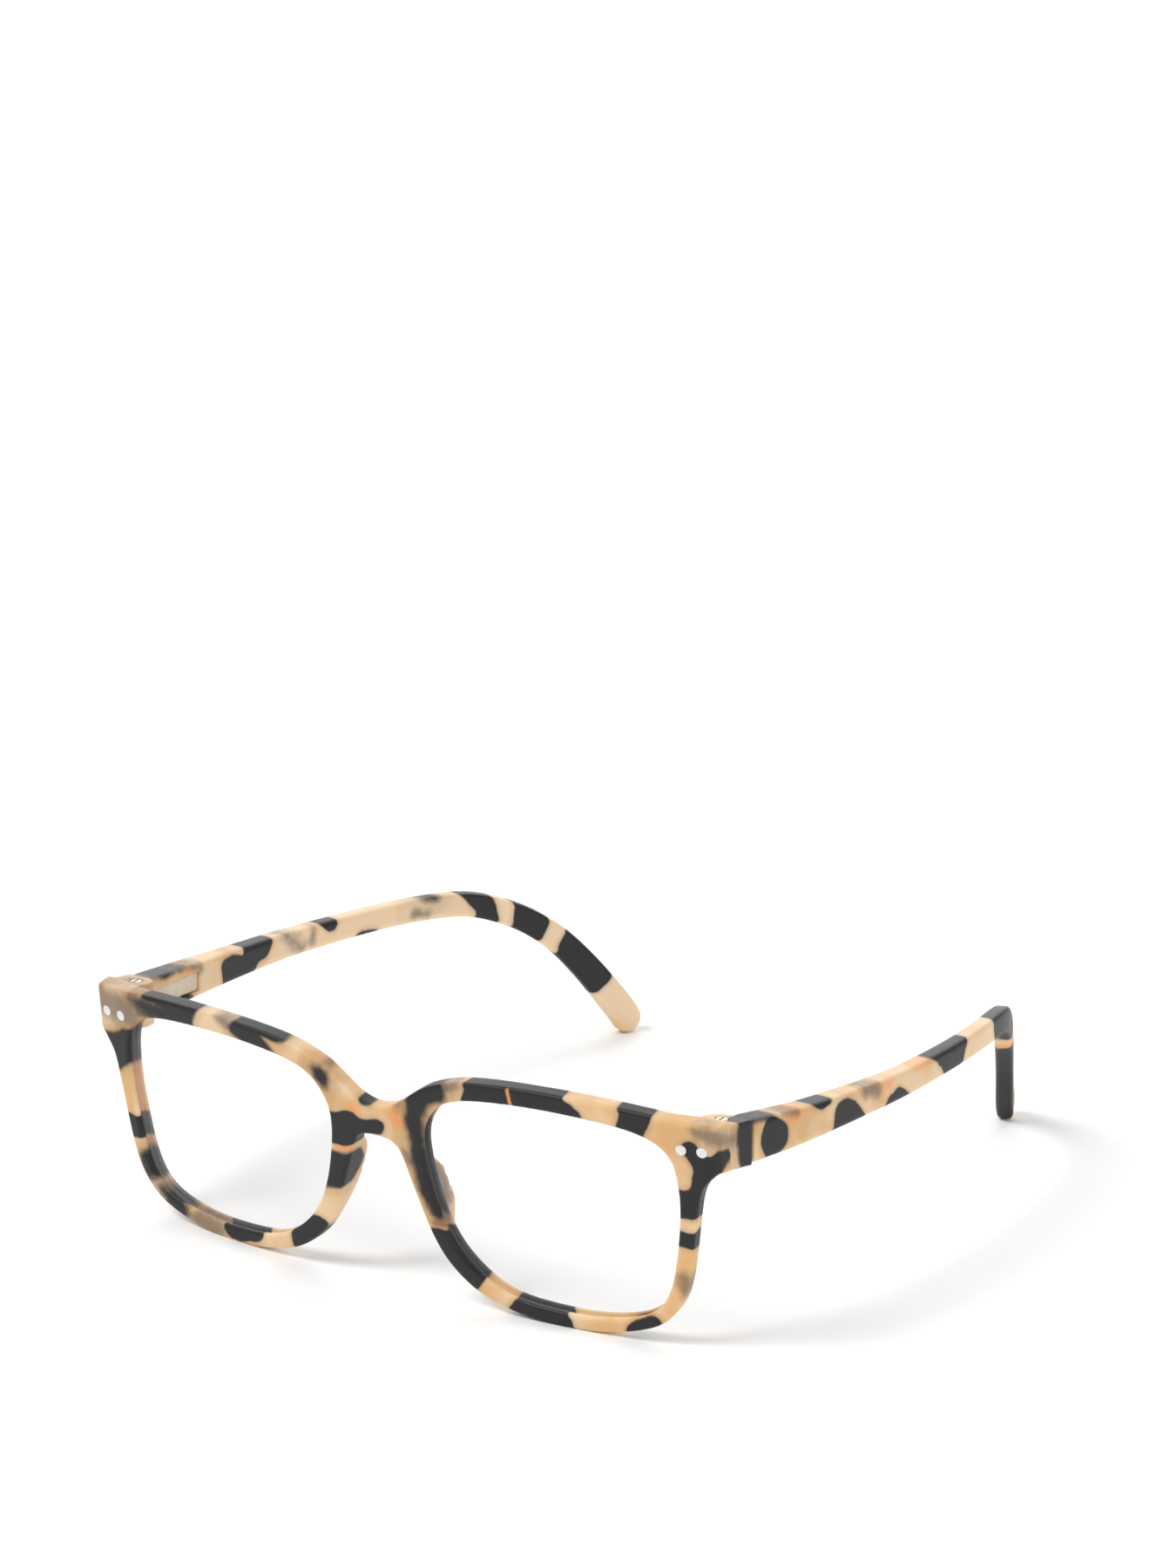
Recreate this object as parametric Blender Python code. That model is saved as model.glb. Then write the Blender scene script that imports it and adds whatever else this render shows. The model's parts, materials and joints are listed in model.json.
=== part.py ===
"""Reading glasses with spring-hinged folding temples.

Metres, +Z up. The glasses stand open on Z = 0, the front faces -Y and the temples
run back to +Y. "Left" and "right" are the wearer's: right is at -X, left at +X.
Run with: blender --background --python part.py
"""
import math

import bmesh
import bpy
from mathutils import Matrix, Vector

MM = 0.001

# ---- driving dimensions, in millimetres ---------------------------------------------
FRONT_WIDTH = 140.6  # end to end, along the front's curve
DRAWN_WIDTH = 140.6  # the width for which the outlines below are drawn
FACE_RADIUS = 331.0  # plan curve of the front
FRONT_TILT = math.radians(6.35)  # the rims' lower edge lies further back
RIM_DEPTH = 3.6
END_PIECE_DEPTH = 4.6
EDGE_ROUND = 0.55
REST_FLAT = 0.15  # depth of the small flats that the rims stand on
TEMPLE_LENGTH = 129.1  # straight back from the end piece to the tip's last section
DRAWN_LENGTH = 129.1

GROOVE_FRONT = 1.15  # behind the front face
GROOVE_WIDTH = 1.6
GROOVE_DEPTH = 1.0
LENS_FIT = 0.3  # gap between a lens's rim and its groove, all round
LENS_CROWN = 0.9
LENS_BACK_CROWN = 0.15

PAD_HEIGHT = 4.6  # how far a nose pad stands behind the rim
PAD_LEAN = 1.1

PIN_RADIUS = 1.05
PIN_LENGTH = 1.8
PIN_SPACING = 4.0
PIN_EDGE = 2.65  # outer pin, in from the front's end
PIN_HEIGHT = 20.1  # above the front's own zero line
PIN_FIT = 0.3

HINGE_INSET = 4.6  # screw axis, in from the temple's outer face
HINGE_SETBACK = 7.1  # screw axis, behind the end piece's front face
HINGE_MID = 20.1  # middle of the hinge eye, above the front's own zero line
SIDE_FLARE = 1.1  # how far the temple's outer face stands outside the front's end
BARREL_RADIUS = 3.3
BUTT_GAP = 0.3  # between the end piece and the temple
BLOCK_SINK = 1.5  # the return starts this far inside the end piece
EAR_GAP = 3.2
EAR_TOP = 4.3  # above HINGE_MID
EAR_BOTTOM = 4.1
EYE_RADIUS = 2.2
EYE_THICKNESS = 2.6
SLOT_CLEARANCE = 0.4
SHAFT_RADIUS = 0.65
HEAD_RADIUS = 1.1
HEAD_THICKNESS = 0.8
RUNNING_FIT = 0.2
INSERT_RADIUS = 1.2
INSERT_LENGTH = 1.9
DRIVER_SLOT = (0.4, 0.35)  # width and depth

# along the temple from the screw axis, and out from it
SLOT_END = 6.5
POCKET_START = 8.0
POCKET_END = 20.6
POCKET_HALF_HEIGHT = 1.9
POCKET_OUTER = 2.9
COVER_START = 4.8
COVER_THICKNESS = 0.7
COVER_OUTER = 0.1
ROD_RADIUS = 0.5
ROD_OFFSET = 1.6
SPRING_RADIUS = 0.9
SPRING_WIRE = 0.15
SPRING_TURNS = 7
NUT_RADIUS = 1.1
NUT_LENGTH = 1.4

# half of the front's outline, from the bridge's underside round the rim to its top
RIM_UNDER = [
    (0.0, 11.6), (3.0, 11.3), (5.2, 9.4), (7.3, 3.7), (9.0, -0.8), (11.2, -6.1), (14.1, -10.6),
    (18.7, -14.6), (24.0, -17.1), (32.0, -18.8), (40.1, -19.2), (46.5, -18.7), (53.0, -17.3),
    (58.0, -15.1), (61.6, -11.2), (63.4, -6.6), (64.6, -0.8), (65.7, 6.0), (66.8, 11.4), (68.3, 14.0),
]
END_PIECE_LOW = (DRAWN_WIDTH / 2, 16.2)
END_PIECE_TOP = (DRAWN_WIDTH / 2, 24.7)
RIM_OVER = [
    (68.0, 25.0), (62.0, 25.5), (55.0, 26.2), (46.0, 26.8), (36.0, 27.0), (26.0, 26.7), (18.5, 25.8),
    (12.5, 23.9), (8.4, 21.4), (4.4, 18.6), (0.0, 17.5),
]
OPENING = [
    (10.4, 11.5), (12.3, 18.0), (17.6, 21.8), (28.5, 23.3), (42.0, 23.3), (54.5, 21.9), (60.8, 18.4),
    (62.6, 11.0), (61.8, 0.8), (59.6, -8.6), (55.6, -13.4), (47.5, -15.7), (37.5, -16.1), (26.0, -14.6),
    (17.5, -8.9), (12.7, -0.5),
]
LENS_CENTRE = (36.6, 3.6)
# temple: distance back from its front end, outer face beyond its front end's, middle height,
# half height, thickness
TEMPLE_KNOTS = [
    (0.0, 0.0, 20.1, 4.05, 5.6),
    (10.1, 1.1, 19.4, 3.65, 5.4),
    (20.1, 1.7, 18.8, 3.30, 5.0),
    (34.1, 2.0, 18.1, 2.90, 4.5),
    (49.1, 1.8, 17.4, 2.60, 4.1),
    (68.1, -0.1, 16.5, 2.40, 3.8),
    (83.1, -2.7, 15.7, 2.40, 3.6),
    (97.1, -6.7, 14.1, 2.45, 3.5),
    (106.7, -11.6, 10.3, 2.55, 3.5),
    (114.7, -15.9, 4.3, 2.70, 3.5),
    (121.1, -19.5, -3.3, 2.90, 3.4),
    (126.7, -22.7, -11.6, 3.10, 3.4),
    (129.1, -23.9, -15.58, 3.00, 3.3),
]
COLOURS = {
    "tortoise": (0.78, 0.60, 0.36, 1.0),
    "lens": (0.93, 0.95, 0.96, 0.35),
    "steel": (0.75, 0.75, 0.73, 1.0),
    "brass": (0.70, 0.55, 0.28, 1.0),
    "insert": (0.66, 0.58, 0.46, 1.0),
}


# ---- curves ---------------------------------------------------------------------------
def smooth(points, steps, closed=False):
    """Catmull-Rom points through a list of tuples."""
    n = len(points)
    out = []
    for i in range(n if closed else n - 1):
        quad = [points[(i + k) % n] if closed else points[min(max(i + k, 0), n - 1)] for k in (-1, 0, 1, 2)]
        for j in range(steps):
            t = j / steps
            weights = (
                (-t + 2 * t * t - t ** 3) / 2,
                (2 - 5 * t * t + 3 * t ** 3) / 2,
                (t + 4 * t * t - 3 * t ** 3) / 2,
                (t ** 3 - t * t) / 2,
            )
            out.append(tuple(sum(w * p[k] for w, p in zip(weights, quad)) for k in range(len(points[0]))))
    if not closed:
        out.append(tuple(points[-1]))
    return out


def straight(start, end, steps):
    """Points from start up to, and without, end."""
    return [tuple(a + (b - a) * i / steps for a, b in zip(start, end)) for i in range(steps)]


def open_smooth(points, steps):
    """Smooth points that leave the middle plane at a right angle at both ends that lie on it."""
    first = [(-points[1][0], points[1][1])] if points[0][0] == 0 else [points[0]]
    last = [(-points[-2][0], points[-2][1])] if points[-1][0] == 0 else [points[-1]]
    padded = first + list(points) + last
    run = smooth(padded, steps)
    return run[steps:len(run) - steps]


def polar(outline):
    """Outline as sorted (angle, radius) about the lens centre."""
    rays = [Vector(p) - LENS_MIDDLE for p in outline]
    return sorted((math.atan2(ray.y, ray.x), ray.length) for ray in rays)


def radius_at(rows, angle):
    angle = math.atan2(math.sin(angle), math.cos(angle))
    n = len(rows)
    for i in range(n):
        a0, r0 = rows[i]
        a1, r1 = rows[(i + 1) % n]
        if i == n - 1:
            a1 += 2 * math.pi
            if angle < rows[0][0]:
                angle += 2 * math.pi
        if a0 <= angle <= a1:
            return r0 + (r1 - r0) * (angle - a0) / (a1 - a0)
    return rows[0][1]


WIDE = FRONT_WIDTH / DRAWN_WIDTH


def widened(points):
    """Outline points spread to the front's width."""
    return [(s * WIDE, z) for s, z in points]


LENS_MIDDLE = Vector((LENS_CENTRE[0] * WIDE, LENS_CENTRE[1]))
OPENING_POLAR = polar(smooth(widened(OPENING), 5, closed=True))


def opening_point(angle, outward=0.0):
    """A point of the lens opening and its normal, which points into the rim."""
    step = 0.01

    def at(a):
        r = radius_at(OPENING_POLAR, a)
        return LENS_MIDDLE + Vector((r * math.cos(a), r * math.sin(a)))

    along = at(angle + step) - at(angle - step)
    normal = Vector((along.y, -along.x)).normalized()
    return at(angle) + outward * normal, normal


def ramp(value, low, high):
    t = min(max((value - low) / (high - low), 0.0), 1.0)
    return t * t * (3 - 2 * t)


# ---- placing ----------------------------------------------------------------------------
def curved(s, z, d):
    """Along the front, up it and behind its face, to the glasses' own axes with the bridge at Y = 0."""
    a = s / FACE_RADIUS
    x = (FACE_RADIUS - d) * math.sin(a)
    y = FACE_RADIUS - (FACE_RADIUS - d) * math.cos(a)
    c, t = math.cos(FRONT_TILT), math.sin(FRONT_TILT)
    return Vector((x, y * c - z * t, z * c + y * t))


END_FACE = curved(FRONT_WIDTH / 2, HINGE_MID, 0.0)
TEMPLE_OUTER = END_FACE.x + SIDE_FLARE
HINGE_X = TEMPLE_OUTER - HINGE_INSET
HINGE_BACK = END_FACE.y + HINGE_SETBACK


def temple_sections(side):
    """Centre, outward, up, half thickness, half height and direction of each section along a temple."""
    start = HINGE_BACK + BARREL_RADIUS + BUTT_GAP
    stretch = TEMPLE_LENGTH / DRAWN_LENGTH
    rows = [(start + y * stretch, TEMPLE_OUTER + x, z, h, t) for y, x, z, h, t in smooth(TEMPLE_KNOTS, 3)]
    points = [Vector((side * x, y, z)) for y, x, z, h, t in rows]
    out = []
    for i, (y, x, z, h, t) in enumerate(rows):
        along = (points[min(i + 1, len(points) - 1)] - points[max(i - 1, 0)]).normalized()
        if i == 0:
            along = Vector((0, 1, 0))
        outward = along.cross(Vector((0, 0, 1))).normalized() * side
        up = (Vector((0, 0, 1)) - along.z * along).normalized()
        out.append((points[i] - outward * t / 2, outward, up, t / 2, h, along))
    centre, outward, up, half, h, along = out[-1]
    for reach, share, thick in ((0.45, 0.90, 0.97), (0.78, 0.66, 0.88), (0.97, 0.30, 0.66)):
        out.append((centre + along * h * reach, outward, up, half * thick, h * share, along))
    return out


def temple_section_points(centre, outward, up, half, h, along):
    r = min(1.1, 0.55 * half, 0.5 * h)
    points = []
    for sx, sz in ((1, 1), (-1, 1), (-1, -1), (1, -1)):
        corner = [(half - r, h), (half - 0.3 * r, h - 0.3 * r), (half, h - r)]
        if sx * sz > 0:
            corner.reverse()
        points += [centre + outward * sx * a + up * sz * b for a, b in corner]
    return points


FRONT_FACE = min(curved(s, z, 0.0).y for s, z in open_smooth(widened(RIM_OVER), 4))
TIP_BACK = max(p.y for section in temple_sections(1) for p in temple_section_points(*section))
SHIFT_BACK = -(FRONT_FACE + TIP_BACK) / 2
RIM_LOW = min(curved(s, z, EDGE_ROUND).z for s, z in open_smooth(widened(RIM_UNDER), 4))
SHIFT_UP = -RIM_LOW - REST_FLAT


def world(point):
    """Own millimetres to the part's metres, with the origin under the middle of its box."""
    return Vector((point[0], point[1] + SHIFT_BACK, point[2] + SHIFT_UP)) * MM


def hinge_frame(side):
    """Matrix from a temple's hinge frame, in millimetres, to metres: X out, Y back along the temple, Z up."""
    first, second = (Vector(k[:3]) for k in TEMPLE_KNOTS[:2])
    run = (second.x - first.x) * TEMPLE_LENGTH / DRAWN_LENGTH
    slope_out, slope_up = (second.y - first.y) / run, (second.z - first.z) / run
    back = Vector((side * slope_out, 1.0, slope_up)).normalized()
    out = back.cross(Vector((0, 0, 1))).normalized() * side
    up = (Vector((0, 0, 1)) - back.z * back).normalized()
    origin = world((side * HINGE_X, HINGE_BACK, HINGE_MID))
    m = Matrix((out, back, up)).transposed().to_4x4()
    return Matrix.Translation(origin) @ m @ Matrix.Scale(MM, 4)


def screw_frame(side):
    """Matrix from the screw's upright frame, in millimetres, to metres: X out, Y back, Z up."""
    origin = world((side * HINGE_X, HINGE_BACK, HINGE_MID))
    return Matrix.Translation(origin) @ Matrix.Diagonal((side * MM, MM, MM, 1.0))


# ---- objects ------------------------------------------------------------------------------
def material(name, metallic=0.0, roughness=0.5):
    found = bpy.data.materials.get(name)
    if found:
        return found
    made = bpy.data.materials.new(name)
    made.use_nodes = True
    shader = made.node_tree.nodes["Principled BSDF"]
    shader.inputs["Base Color"].default_value = COLOURS[name]
    shader.inputs["Metallic"].default_value = metallic
    shader.inputs["Roughness"].default_value = roughness
    return made


def add_object(name, bm, mat=None, origin=None, cutter=False):
    """Make an object of a bmesh whose points are in metres, with its origin where the joint is."""
    bmesh.ops.remove_doubles(bm, verts=bm.verts, dist=1e-7)
    bmesh.ops.recalc_face_normals(bm, faces=bm.faces)
    mesh = bpy.data.meshes.new(name)
    if origin is not None:
        bmesh.ops.translate(bm, verts=bm.verts, vec=-Vector(origin))
    bm.to_mesh(mesh)
    bm.free()
    obj = bpy.data.objects.new(name, mesh)
    bpy.context.scene.collection.objects.link(obj)
    if origin is not None:
        obj.location = origin
    if mat:
        mesh.materials.append(mat)
    mesh.shade_smooth()
    mesh.set_sharp_from_angle(angle=math.radians(35))
    if cutter:
        obj.hide_render = True
        obj.display_type = "WIRE"
    return obj


def prism(outline, low, high, matrix):
    """Closed prism on an outline of (x, y); low and high are heights or functions of (x, y)."""
    bm = bmesh.new()
    rings = []
    for level in (low, high):
        rings.append([
            bm.verts.new(matrix @ Vector((x, y, level(x, y) if callable(level) else level))) for x, y in outline
        ])
    bm.faces.new(rings[0])
    bm.faces.new(rings[1])
    n = len(outline)
    for i in range(n):
        j = (i + 1) % n
        bm.faces.new((rings[0][i], rings[0][j], rings[1][j], rings[1][i]))
    return bm


def arc(radius, start, end, steps, centre=(0.0, 0.0)):
    angles = [math.radians(start + (end - start) * i / steps) for i in range(steps + 1)]
    return [(centre[0] + radius * math.cos(a), centre[1] + radius * math.sin(a)) for a in angles]


def ring_outline(radius, sides):
    return arc(radius, 0, 360, sides)[:-1]


def box_outline(x0, x1, y0, y1):
    return [(x0, y0), (x1, y0), (x1, y1), (x0, y1)]


def turned(sections, matrix, sides=16):
    """Closed ring or rod about the frame's Y axis: sections are (along, radius) round the profile."""
    bm = bmesh.new()
    loops = []
    for along, radius in sections:
        loop = [
            bm.verts.new(matrix @ Vector((x, along, z))) for x, z in ring_outline(radius, sides)
        ]
        loops.append(loop)
    return bm, loops


def bridge(bm, a, b):
    n = len(a)
    for i in range(n):
        j = (i + 1) % n
        bm.faces.new((a[i], a[j], b[j], b[i]))


def rod(radius, start, end, matrix, sides=16):
    bm, loops = turned([(start, radius), (end, radius)], matrix, sides)
    bridge(bm, *loops)
    bm.faces.new(loops[0])
    bm.faces.new(loops[1])
    return bm


def tube(inner, outer, start, end, matrix, sides=16):
    bm, loops = turned([(start, inner), (start, outer), (end, outer), (end, inner)], matrix, sides)
    for i in range(4):
        bridge(bm, loops[i], loops[(i + 1) % 4])
    return bm


def upright(matrix):
    """The same frame turned so that its Y axis stands up."""
    return matrix @ Matrix.Rotation(math.radians(90), 4, "X")


def boolean(target, other, operation="DIFFERENCE"):
    mod = target.modifiers.new(operation.title(), "BOOLEAN")
    mod.operation = operation
    mod.solver = "EXACT"
    mod.object = other


def cut(target, name, bm):
    boolean(target, add_object(name, bm, cutter=True))


def merge(target, name, bm):
    boolean(target, add_object(name, bm, cutter=True), "UNION")


# ---- front ------------------------------------------------------------------------------------
def half_outline():
    """Outer loop of half the front as (s, z, on_middle), from the bridge's top down its middle and round."""
    over, under = widened(RIM_OVER), widened(RIM_UNDER)
    (corner_low, corner_top), top, low = widened([END_PIECE_LOW, END_PIECE_TOP]), over[-1], under[0]
    loop = [(s, z, True) for s, z in straight(top, low, 3)]
    loop += [(s, z, i == 0) for i, (s, z) in enumerate(open_smooth(under, 2))]
    loop += [(s, z, False) for s, z in straight(corner_low, corner_top, 2)]
    loop += [(*corner_top, False)]
    loop += [(s, z, False) for s, z in open_smooth(over, 2)[:-1]]
    return loop


def outline_normals(loop):
    """Normals that point into the rim, at each point of the outer loop."""
    normals = []
    n = len(loop)
    for i, (s, z, middle) in enumerate(loop):
        before = Vector(loop[i - 1][:2])
        after = Vector(loop[(i + 1) % n][:2])
        here = Vector((s, z))
        a, b = (here - before).normalized(), (after - here).normalized()
        if middle and loop[i - 1][2] != loop[(i + 1) % n][2]:
            up = 1.0 if z < (RIM_UNDER[0][1] + RIM_OVER[-1][1]) / 2 else -1.0
            normals.append(Vector((0.0, up)))
            continue
        normal = Vector((-(a + b).y, (a + b).x)).normalized()
        normals.append(normal / max(normal.dot(Vector((-a.y, a.x))), 0.5))
    return normals


def end_piece_share(s, z):
    return ramp(s / WIDE, 60.0, 68.0) * ramp(z, 9.0, 15.0)


def pad_share(s, z, on_top):
    """How fully the nose pad stands at a point of the outer loop."""
    if on_top or s > 15.5 * WIDE:
        return 0.0
    return ramp(z, -9.5, -1.5) * (1 - ramp(z, 3.5, 10.6))


def front_section(outer, normal, on_top, middle):
    """Points (s, z, d) round the rim's section, split into the face, the outer wall and the rest."""
    s, z = outer
    ray = Vector(outer) - LENS_MIDDLE
    inner, inward = opening_point(math.atan2(ray.y, ray.x))
    share = end_piece_share(s, z)
    pad = 0.0 if middle else pad_share(s, z, on_top)
    depth_out = RIM_DEPTH + (END_PIECE_DEPTH - RIM_DEPTH) * share
    r_in = EDGE_ROUND
    side_share = share if s > FRONT_WIDTH / 2 - 0.01 else 0.0
    r_out = EDGE_ROUND * (1 + 1.2 * side_share)

    def from_inner(e, d):
        p = inner + inward * e
        return (p.x, p.y, d)

    def from_outer(e, d):
        p = Vector(outer) + normal * e
        return (p.x + side_share * 0.32 * d, p.y, d)

    def across(t, d):
        a, b = inner + inward * r_in, Vector(outer) + normal * r_out
        p = a.lerp(b, t)
        return (p.x, p.y, d)

    groove_back = GROOVE_FRONT + GROOVE_WIDTH
    wall_in = [
        from_inner(0, GROOVE_FRONT), from_inner(0, r_in), from_inner(0.3 * r_in, 0.3 * r_in), from_inner(r_in, 0),
    ]
    height = PAD_HEIGHT * pad
    lean = PAD_LEAN * pad
    if middle:
        face = wall_in + [(s, z, 0.0)]
        wall = []
        rear = [(s, z, depth_out)]
    else:
        face = wall_in + [from_outer(r_out, 0)]
        wall = [
            from_outer(0.3 * r_out, 0.3 * r_out), from_outer(0, r_out),
            from_outer(0.3 * lean, depth_out - r_in + 0.45 * height),
            from_outer(0.3 * r_in + 0.75 * lean, depth_out - 0.3 * r_in + 0.82 * height),
        ]
        rear = [from_outer(r_in + 1.2 * lean, depth_out + height)]
    width = (Vector(outer) - inner).length
    rear += [
        across(0.62 - 0.12 * pad, (RIM_DEPTH + 2 * depth_out) / 3 + 0.86 * height),
        across(0.18, RIM_DEPTH + 0.10 * height),
        from_inner(min(r_in, 0.2 * width), RIM_DEPTH), from_inner(0.3 * r_in, RIM_DEPTH - 0.3 * r_in),
        from_inner(0, RIM_DEPTH - r_in), from_inner(0, groove_back),
        from_inner(GROOVE_DEPTH, groove_back - 0.2), from_inner(GROOVE_DEPTH, GROOVE_FRONT + 0.2),
    ]
    return face, wall, rear


def front_half(bm, side):
    loop = half_outline()
    normals = outline_normals(loop)
    half_way = len(loop) // 2
    rings = []
    for i, ((s, z, middle), normal) in enumerate(zip(loop, normals)):
        inside_middle = middle and loop[i - 1][2] and loop[(i + 1) % len(loop)][2]
        face, wall, rear = front_section((s, z), normal, i > half_way or i == 0, inside_middle)
        rings.append([
            [bm.verts.new(world(curved(side * a, b, d))) for a, b, d in part] for part in (face, wall, rear)
        ])
    n = len(loop)
    for i in range(n):
        j = (i + 1) % n
        here, there = rings[i], rings[j]
        on_cut = loop[i][2] and loop[j][2]
        if on_cut:
            chains = [(here[0], there[0]), (here[2] + here[0][:1], there[2] + there[0][:1])]
        else:
            chains = [(here[0] + here[1] + here[2] + here[0][:1], there[0] + there[1] + there[2] + there[0][:1])]
        for a, b in chains:
            for k in range(len(a) - 1):
                bm.faces.new((a[k], a[k + 1], b[k + 1], b[k]))


def block_top(x, y):
    return EAR_TOP + 0.12 * (BARREL_RADIUS - y)


def block_low(x, y):
    return -EAR_BOTTOM + 0.08 * (BARREL_RADIUS - y)


def hinge_block(side):
    """The end piece's return with its barrel, before its slot and bores are cut."""
    rear, start = BARREL_RADIUS, BLOCK_SINK - HINGE_SETBACK
    outline = [(HINGE_INSET - 0.9, start), (HINGE_INSET - 0.05, rear - 0.4), (HINGE_INSET - 0.45, rear)]
    outline += arc(rear, 90, 180, 6)
    outline += [(-rear, start + 1.0)]
    return prism(outline, block_low, block_top, screw_frame(side))


def eye_slot(side):
    """Room for the hinge eye between the ears, open to the back and to the inside."""
    reach = EYE_RADIUS + SLOT_CLEARANCE
    outline = [(reach, 5.0)] + arc(reach, 0, -90, 6) + [(-5.0, -reach), (-5.0, 5.0)]
    half = EAR_GAP / 2
    return prism(outline, -half, half, screw_frame(side))


def make_front():
    bm = bmesh.new()
    for side in (1, -1):
        front_half(bm, side)
    for v in bm.verts:
        v.co.z = max(v.co.z, 0.0)
    front = add_object("front_frame", bm, material("tortoise"))
    for side, name in ((1, "left"), (-1, "right")):
        frame = screw_frame(side)
        shaft = upright(frame)
        merge(front, f"block_{name}", hinge_block(side))
        cut(front, f"slot_{name}", eye_slot(side))
        cut(front, f"shaft_bore_{name}", rod(SHAFT_RADIUS + RUNNING_FIT, 0, 8.0, shaft))
        cut(front, f"head_bore_{name}", rod(HEAD_RADIUS + RUNNING_FIT, head_low() - 0.2, 8.0, shaft))
        cut(front, f"insert_bore_{name}", rod(INSERT_RADIUS + RUNNING_FIT, -8.0, 0, shaft))
        for place, s in pin_places():
            base = pin_frame(side, s)
            cut(front, f"pin_bore_{name}_{place}", rod(PIN_RADIUS + PIN_FIT, -1.0, PIN_LENGTH + PIN_FIT, base))
    return front


def head_low():
    """Underside of the screw's head, above the middle of the hinge eye."""
    return EAR_TOP + 0.3 - HEAD_THICKNESS


def pin_places():
    return (("inner", FRONT_WIDTH / 2 - PIN_EDGE - PIN_SPACING), ("outer", FRONT_WIDTH / 2 - PIN_EDGE))


def pin_frame(side, s):
    """Frame on the front face whose Y axis runs into the end piece."""
    face = curved(side * s, PIN_HEIGHT, 0.0)
    back = (curved(side * s, PIN_HEIGHT, 1.0) - face).normalized()
    out = back.cross(Vector((0, 0, 1))).normalized()
    up = out.cross(back)
    m = Matrix((out, back, up)).transposed().to_4x4()
    return Matrix.Translation(world(face)) @ m @ Matrix.Scale(MM, 4)


def make_pins():
    for side, name in ((1, "left"), (-1, "right")):
        for place, s in pin_places():
            bm = rod(PIN_RADIUS, 0.05, PIN_LENGTH, pin_frame(side, s))
            add_object(f"trim_pin_{name}_{place}", bm, material("steel", 1.0, 0.3))


# ---- lenses -----------------------------------------------------------------------------------
def make_lens(side, name):
    """A reading lens whose edge lies in the groove and whose faces are crowned."""
    bm = bmesh.new()
    steps, rings = 48, 4
    front_edge = GROOVE_FRONT + LENS_FIT
    back_edge = GROOVE_FRONT + GROOVE_WIDTH - LENS_FIT
    centre = LENS_MIDDLE

    def level(t, front):
        crown = 1 - t * t
        return front_edge - LENS_CROWN * crown if front else back_edge + LENS_BACK_CROWN * crown

    layers = {}
    for front in (True, False):
        rows = []
        for k in range(1, rings + 1):
            t = k / rings
            row = []
            for i in range(steps):
                edge, _ = opening_point(2 * math.pi * i / steps, GROOVE_DEPTH - LENS_FIT)
                p = centre.lerp(edge, t)
                row.append(bm.verts.new(world(curved(side * p.x, p.y, level(t, front)))))
            rows.append(row)
        middle = bm.verts.new(world(curved(side * centre.x, centre.y, level(0.0, front))))
        for i in range(steps):
            bm.faces.new((middle, rows[0][i], rows[0][(i + 1) % steps]))
        for a, b in zip(rows, rows[1:]):
            bridge(bm, a, b)
        layers[front] = rows
    bridge(bm, layers[True][-1], layers[False][-1])
    return add_object(name, bm, material("lens", 0.0, 0.05))


# ---- temples ----------------------------------------------------------------------------------
def make_temple(side, name):
    bm = bmesh.new()
    loops = []
    for section in temple_sections(side):
        loops.append([bm.verts.new(world(p)) for p in temple_section_points(*section)])
    for a, b in zip(loops, loops[1:]):
        bridge(bm, a, b)
    bm.faces.new(loops[0])
    bm.faces.new(loops[-1])
    frame = hinge_frame(side)
    temple = add_object(f"temple_{name}", bm, material("tortoise"), origin=frame.translation)
    depth_in = -6.0
    tall = POCKET_HALF_HEIGHT
    recess = box_outline(depth_in, COVER_OUTER + LENS_FIT, COVER_START - LENS_FIT, POCKET_END)
    slot = box_outline(depth_in, POCKET_OUTER, 0.0, SLOT_END)
    chamber = box_outline(depth_in, POCKET_OUTER, POCKET_START, POCKET_END)
    for label, outline in (("recess", recess), ("slot", slot), ("chamber", chamber)):
        height = tall + (0.02 if label == "recess" else 0.0)
        cut(temple, f"{label}_{name}", prism(outline, -height, height, frame))
    shifted = frame @ Matrix.Translation((ROD_OFFSET, 0, 0))
    cut(temple, f"rod_bore_{name}", rod(ROD_RADIUS + RUNNING_FIT, SLOT_END - 0.5, POCKET_START + 0.5, shifted))
    return temple


# ---- spring hinges ------------------------------------------------------------------------------
def make_cover(side, name):
    frame = hinge_frame(side)
    low = COVER_OUTER - COVER_THICKNESS
    outline = box_outline(low, COVER_OUTER, COVER_START, POCKET_END - LENS_FIT)
    tall = POCKET_HALF_HEIGHT - LENS_FIT
    bm = prism(outline, -tall, tall, frame)
    add_object(f"hinge_cover_{name}", bm, material("insert"), origin=frame.translation)


def make_eye(side, name):
    """Hinge eye with its neck and pull rod, in one piece."""
    frame, post = hinge_frame(side), screw_frame(side)
    half = EYE_THICKNESS / 2
    bm = prism(ring_outline(EYE_RADIUS, 20), -half, half, post)
    eye = add_object(f"hinge_eye_{name}", bm, material("steel", 1.0, 0.3), origin=frame.translation)
    low, high, end = COVER_OUTER + LENS_FIT + 0.3, ROD_OFFSET + ROD_RADIUS, SLOT_END - 0.3
    jog = COVER_START - 2 * LENS_FIT - 0.1
    neck = [(-0.3, 0.6), (high, 0.6), (high, end), (low, end), (low, jog), (-0.3, jog)]
    merge(eye, f"neck_{name}", prism(neck, -1.0, 1.0, frame))
    shifted = frame @ Matrix.Translation((ROD_OFFSET, 0, 0))
    merge(eye, f"pull_rod_{name}", rod(ROD_RADIUS, SLOT_END - 0.9, rod_end(), shifted))
    cut(eye, f"eye_bore_{name}", rod(SHAFT_RADIUS + RUNNING_FIT, -half - 1, half + 1, upright(post)))


def rod_end():
    return POCKET_END - 1.2


def nut_start():
    return rod_end() - 0.3 - NUT_LENGTH


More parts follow.
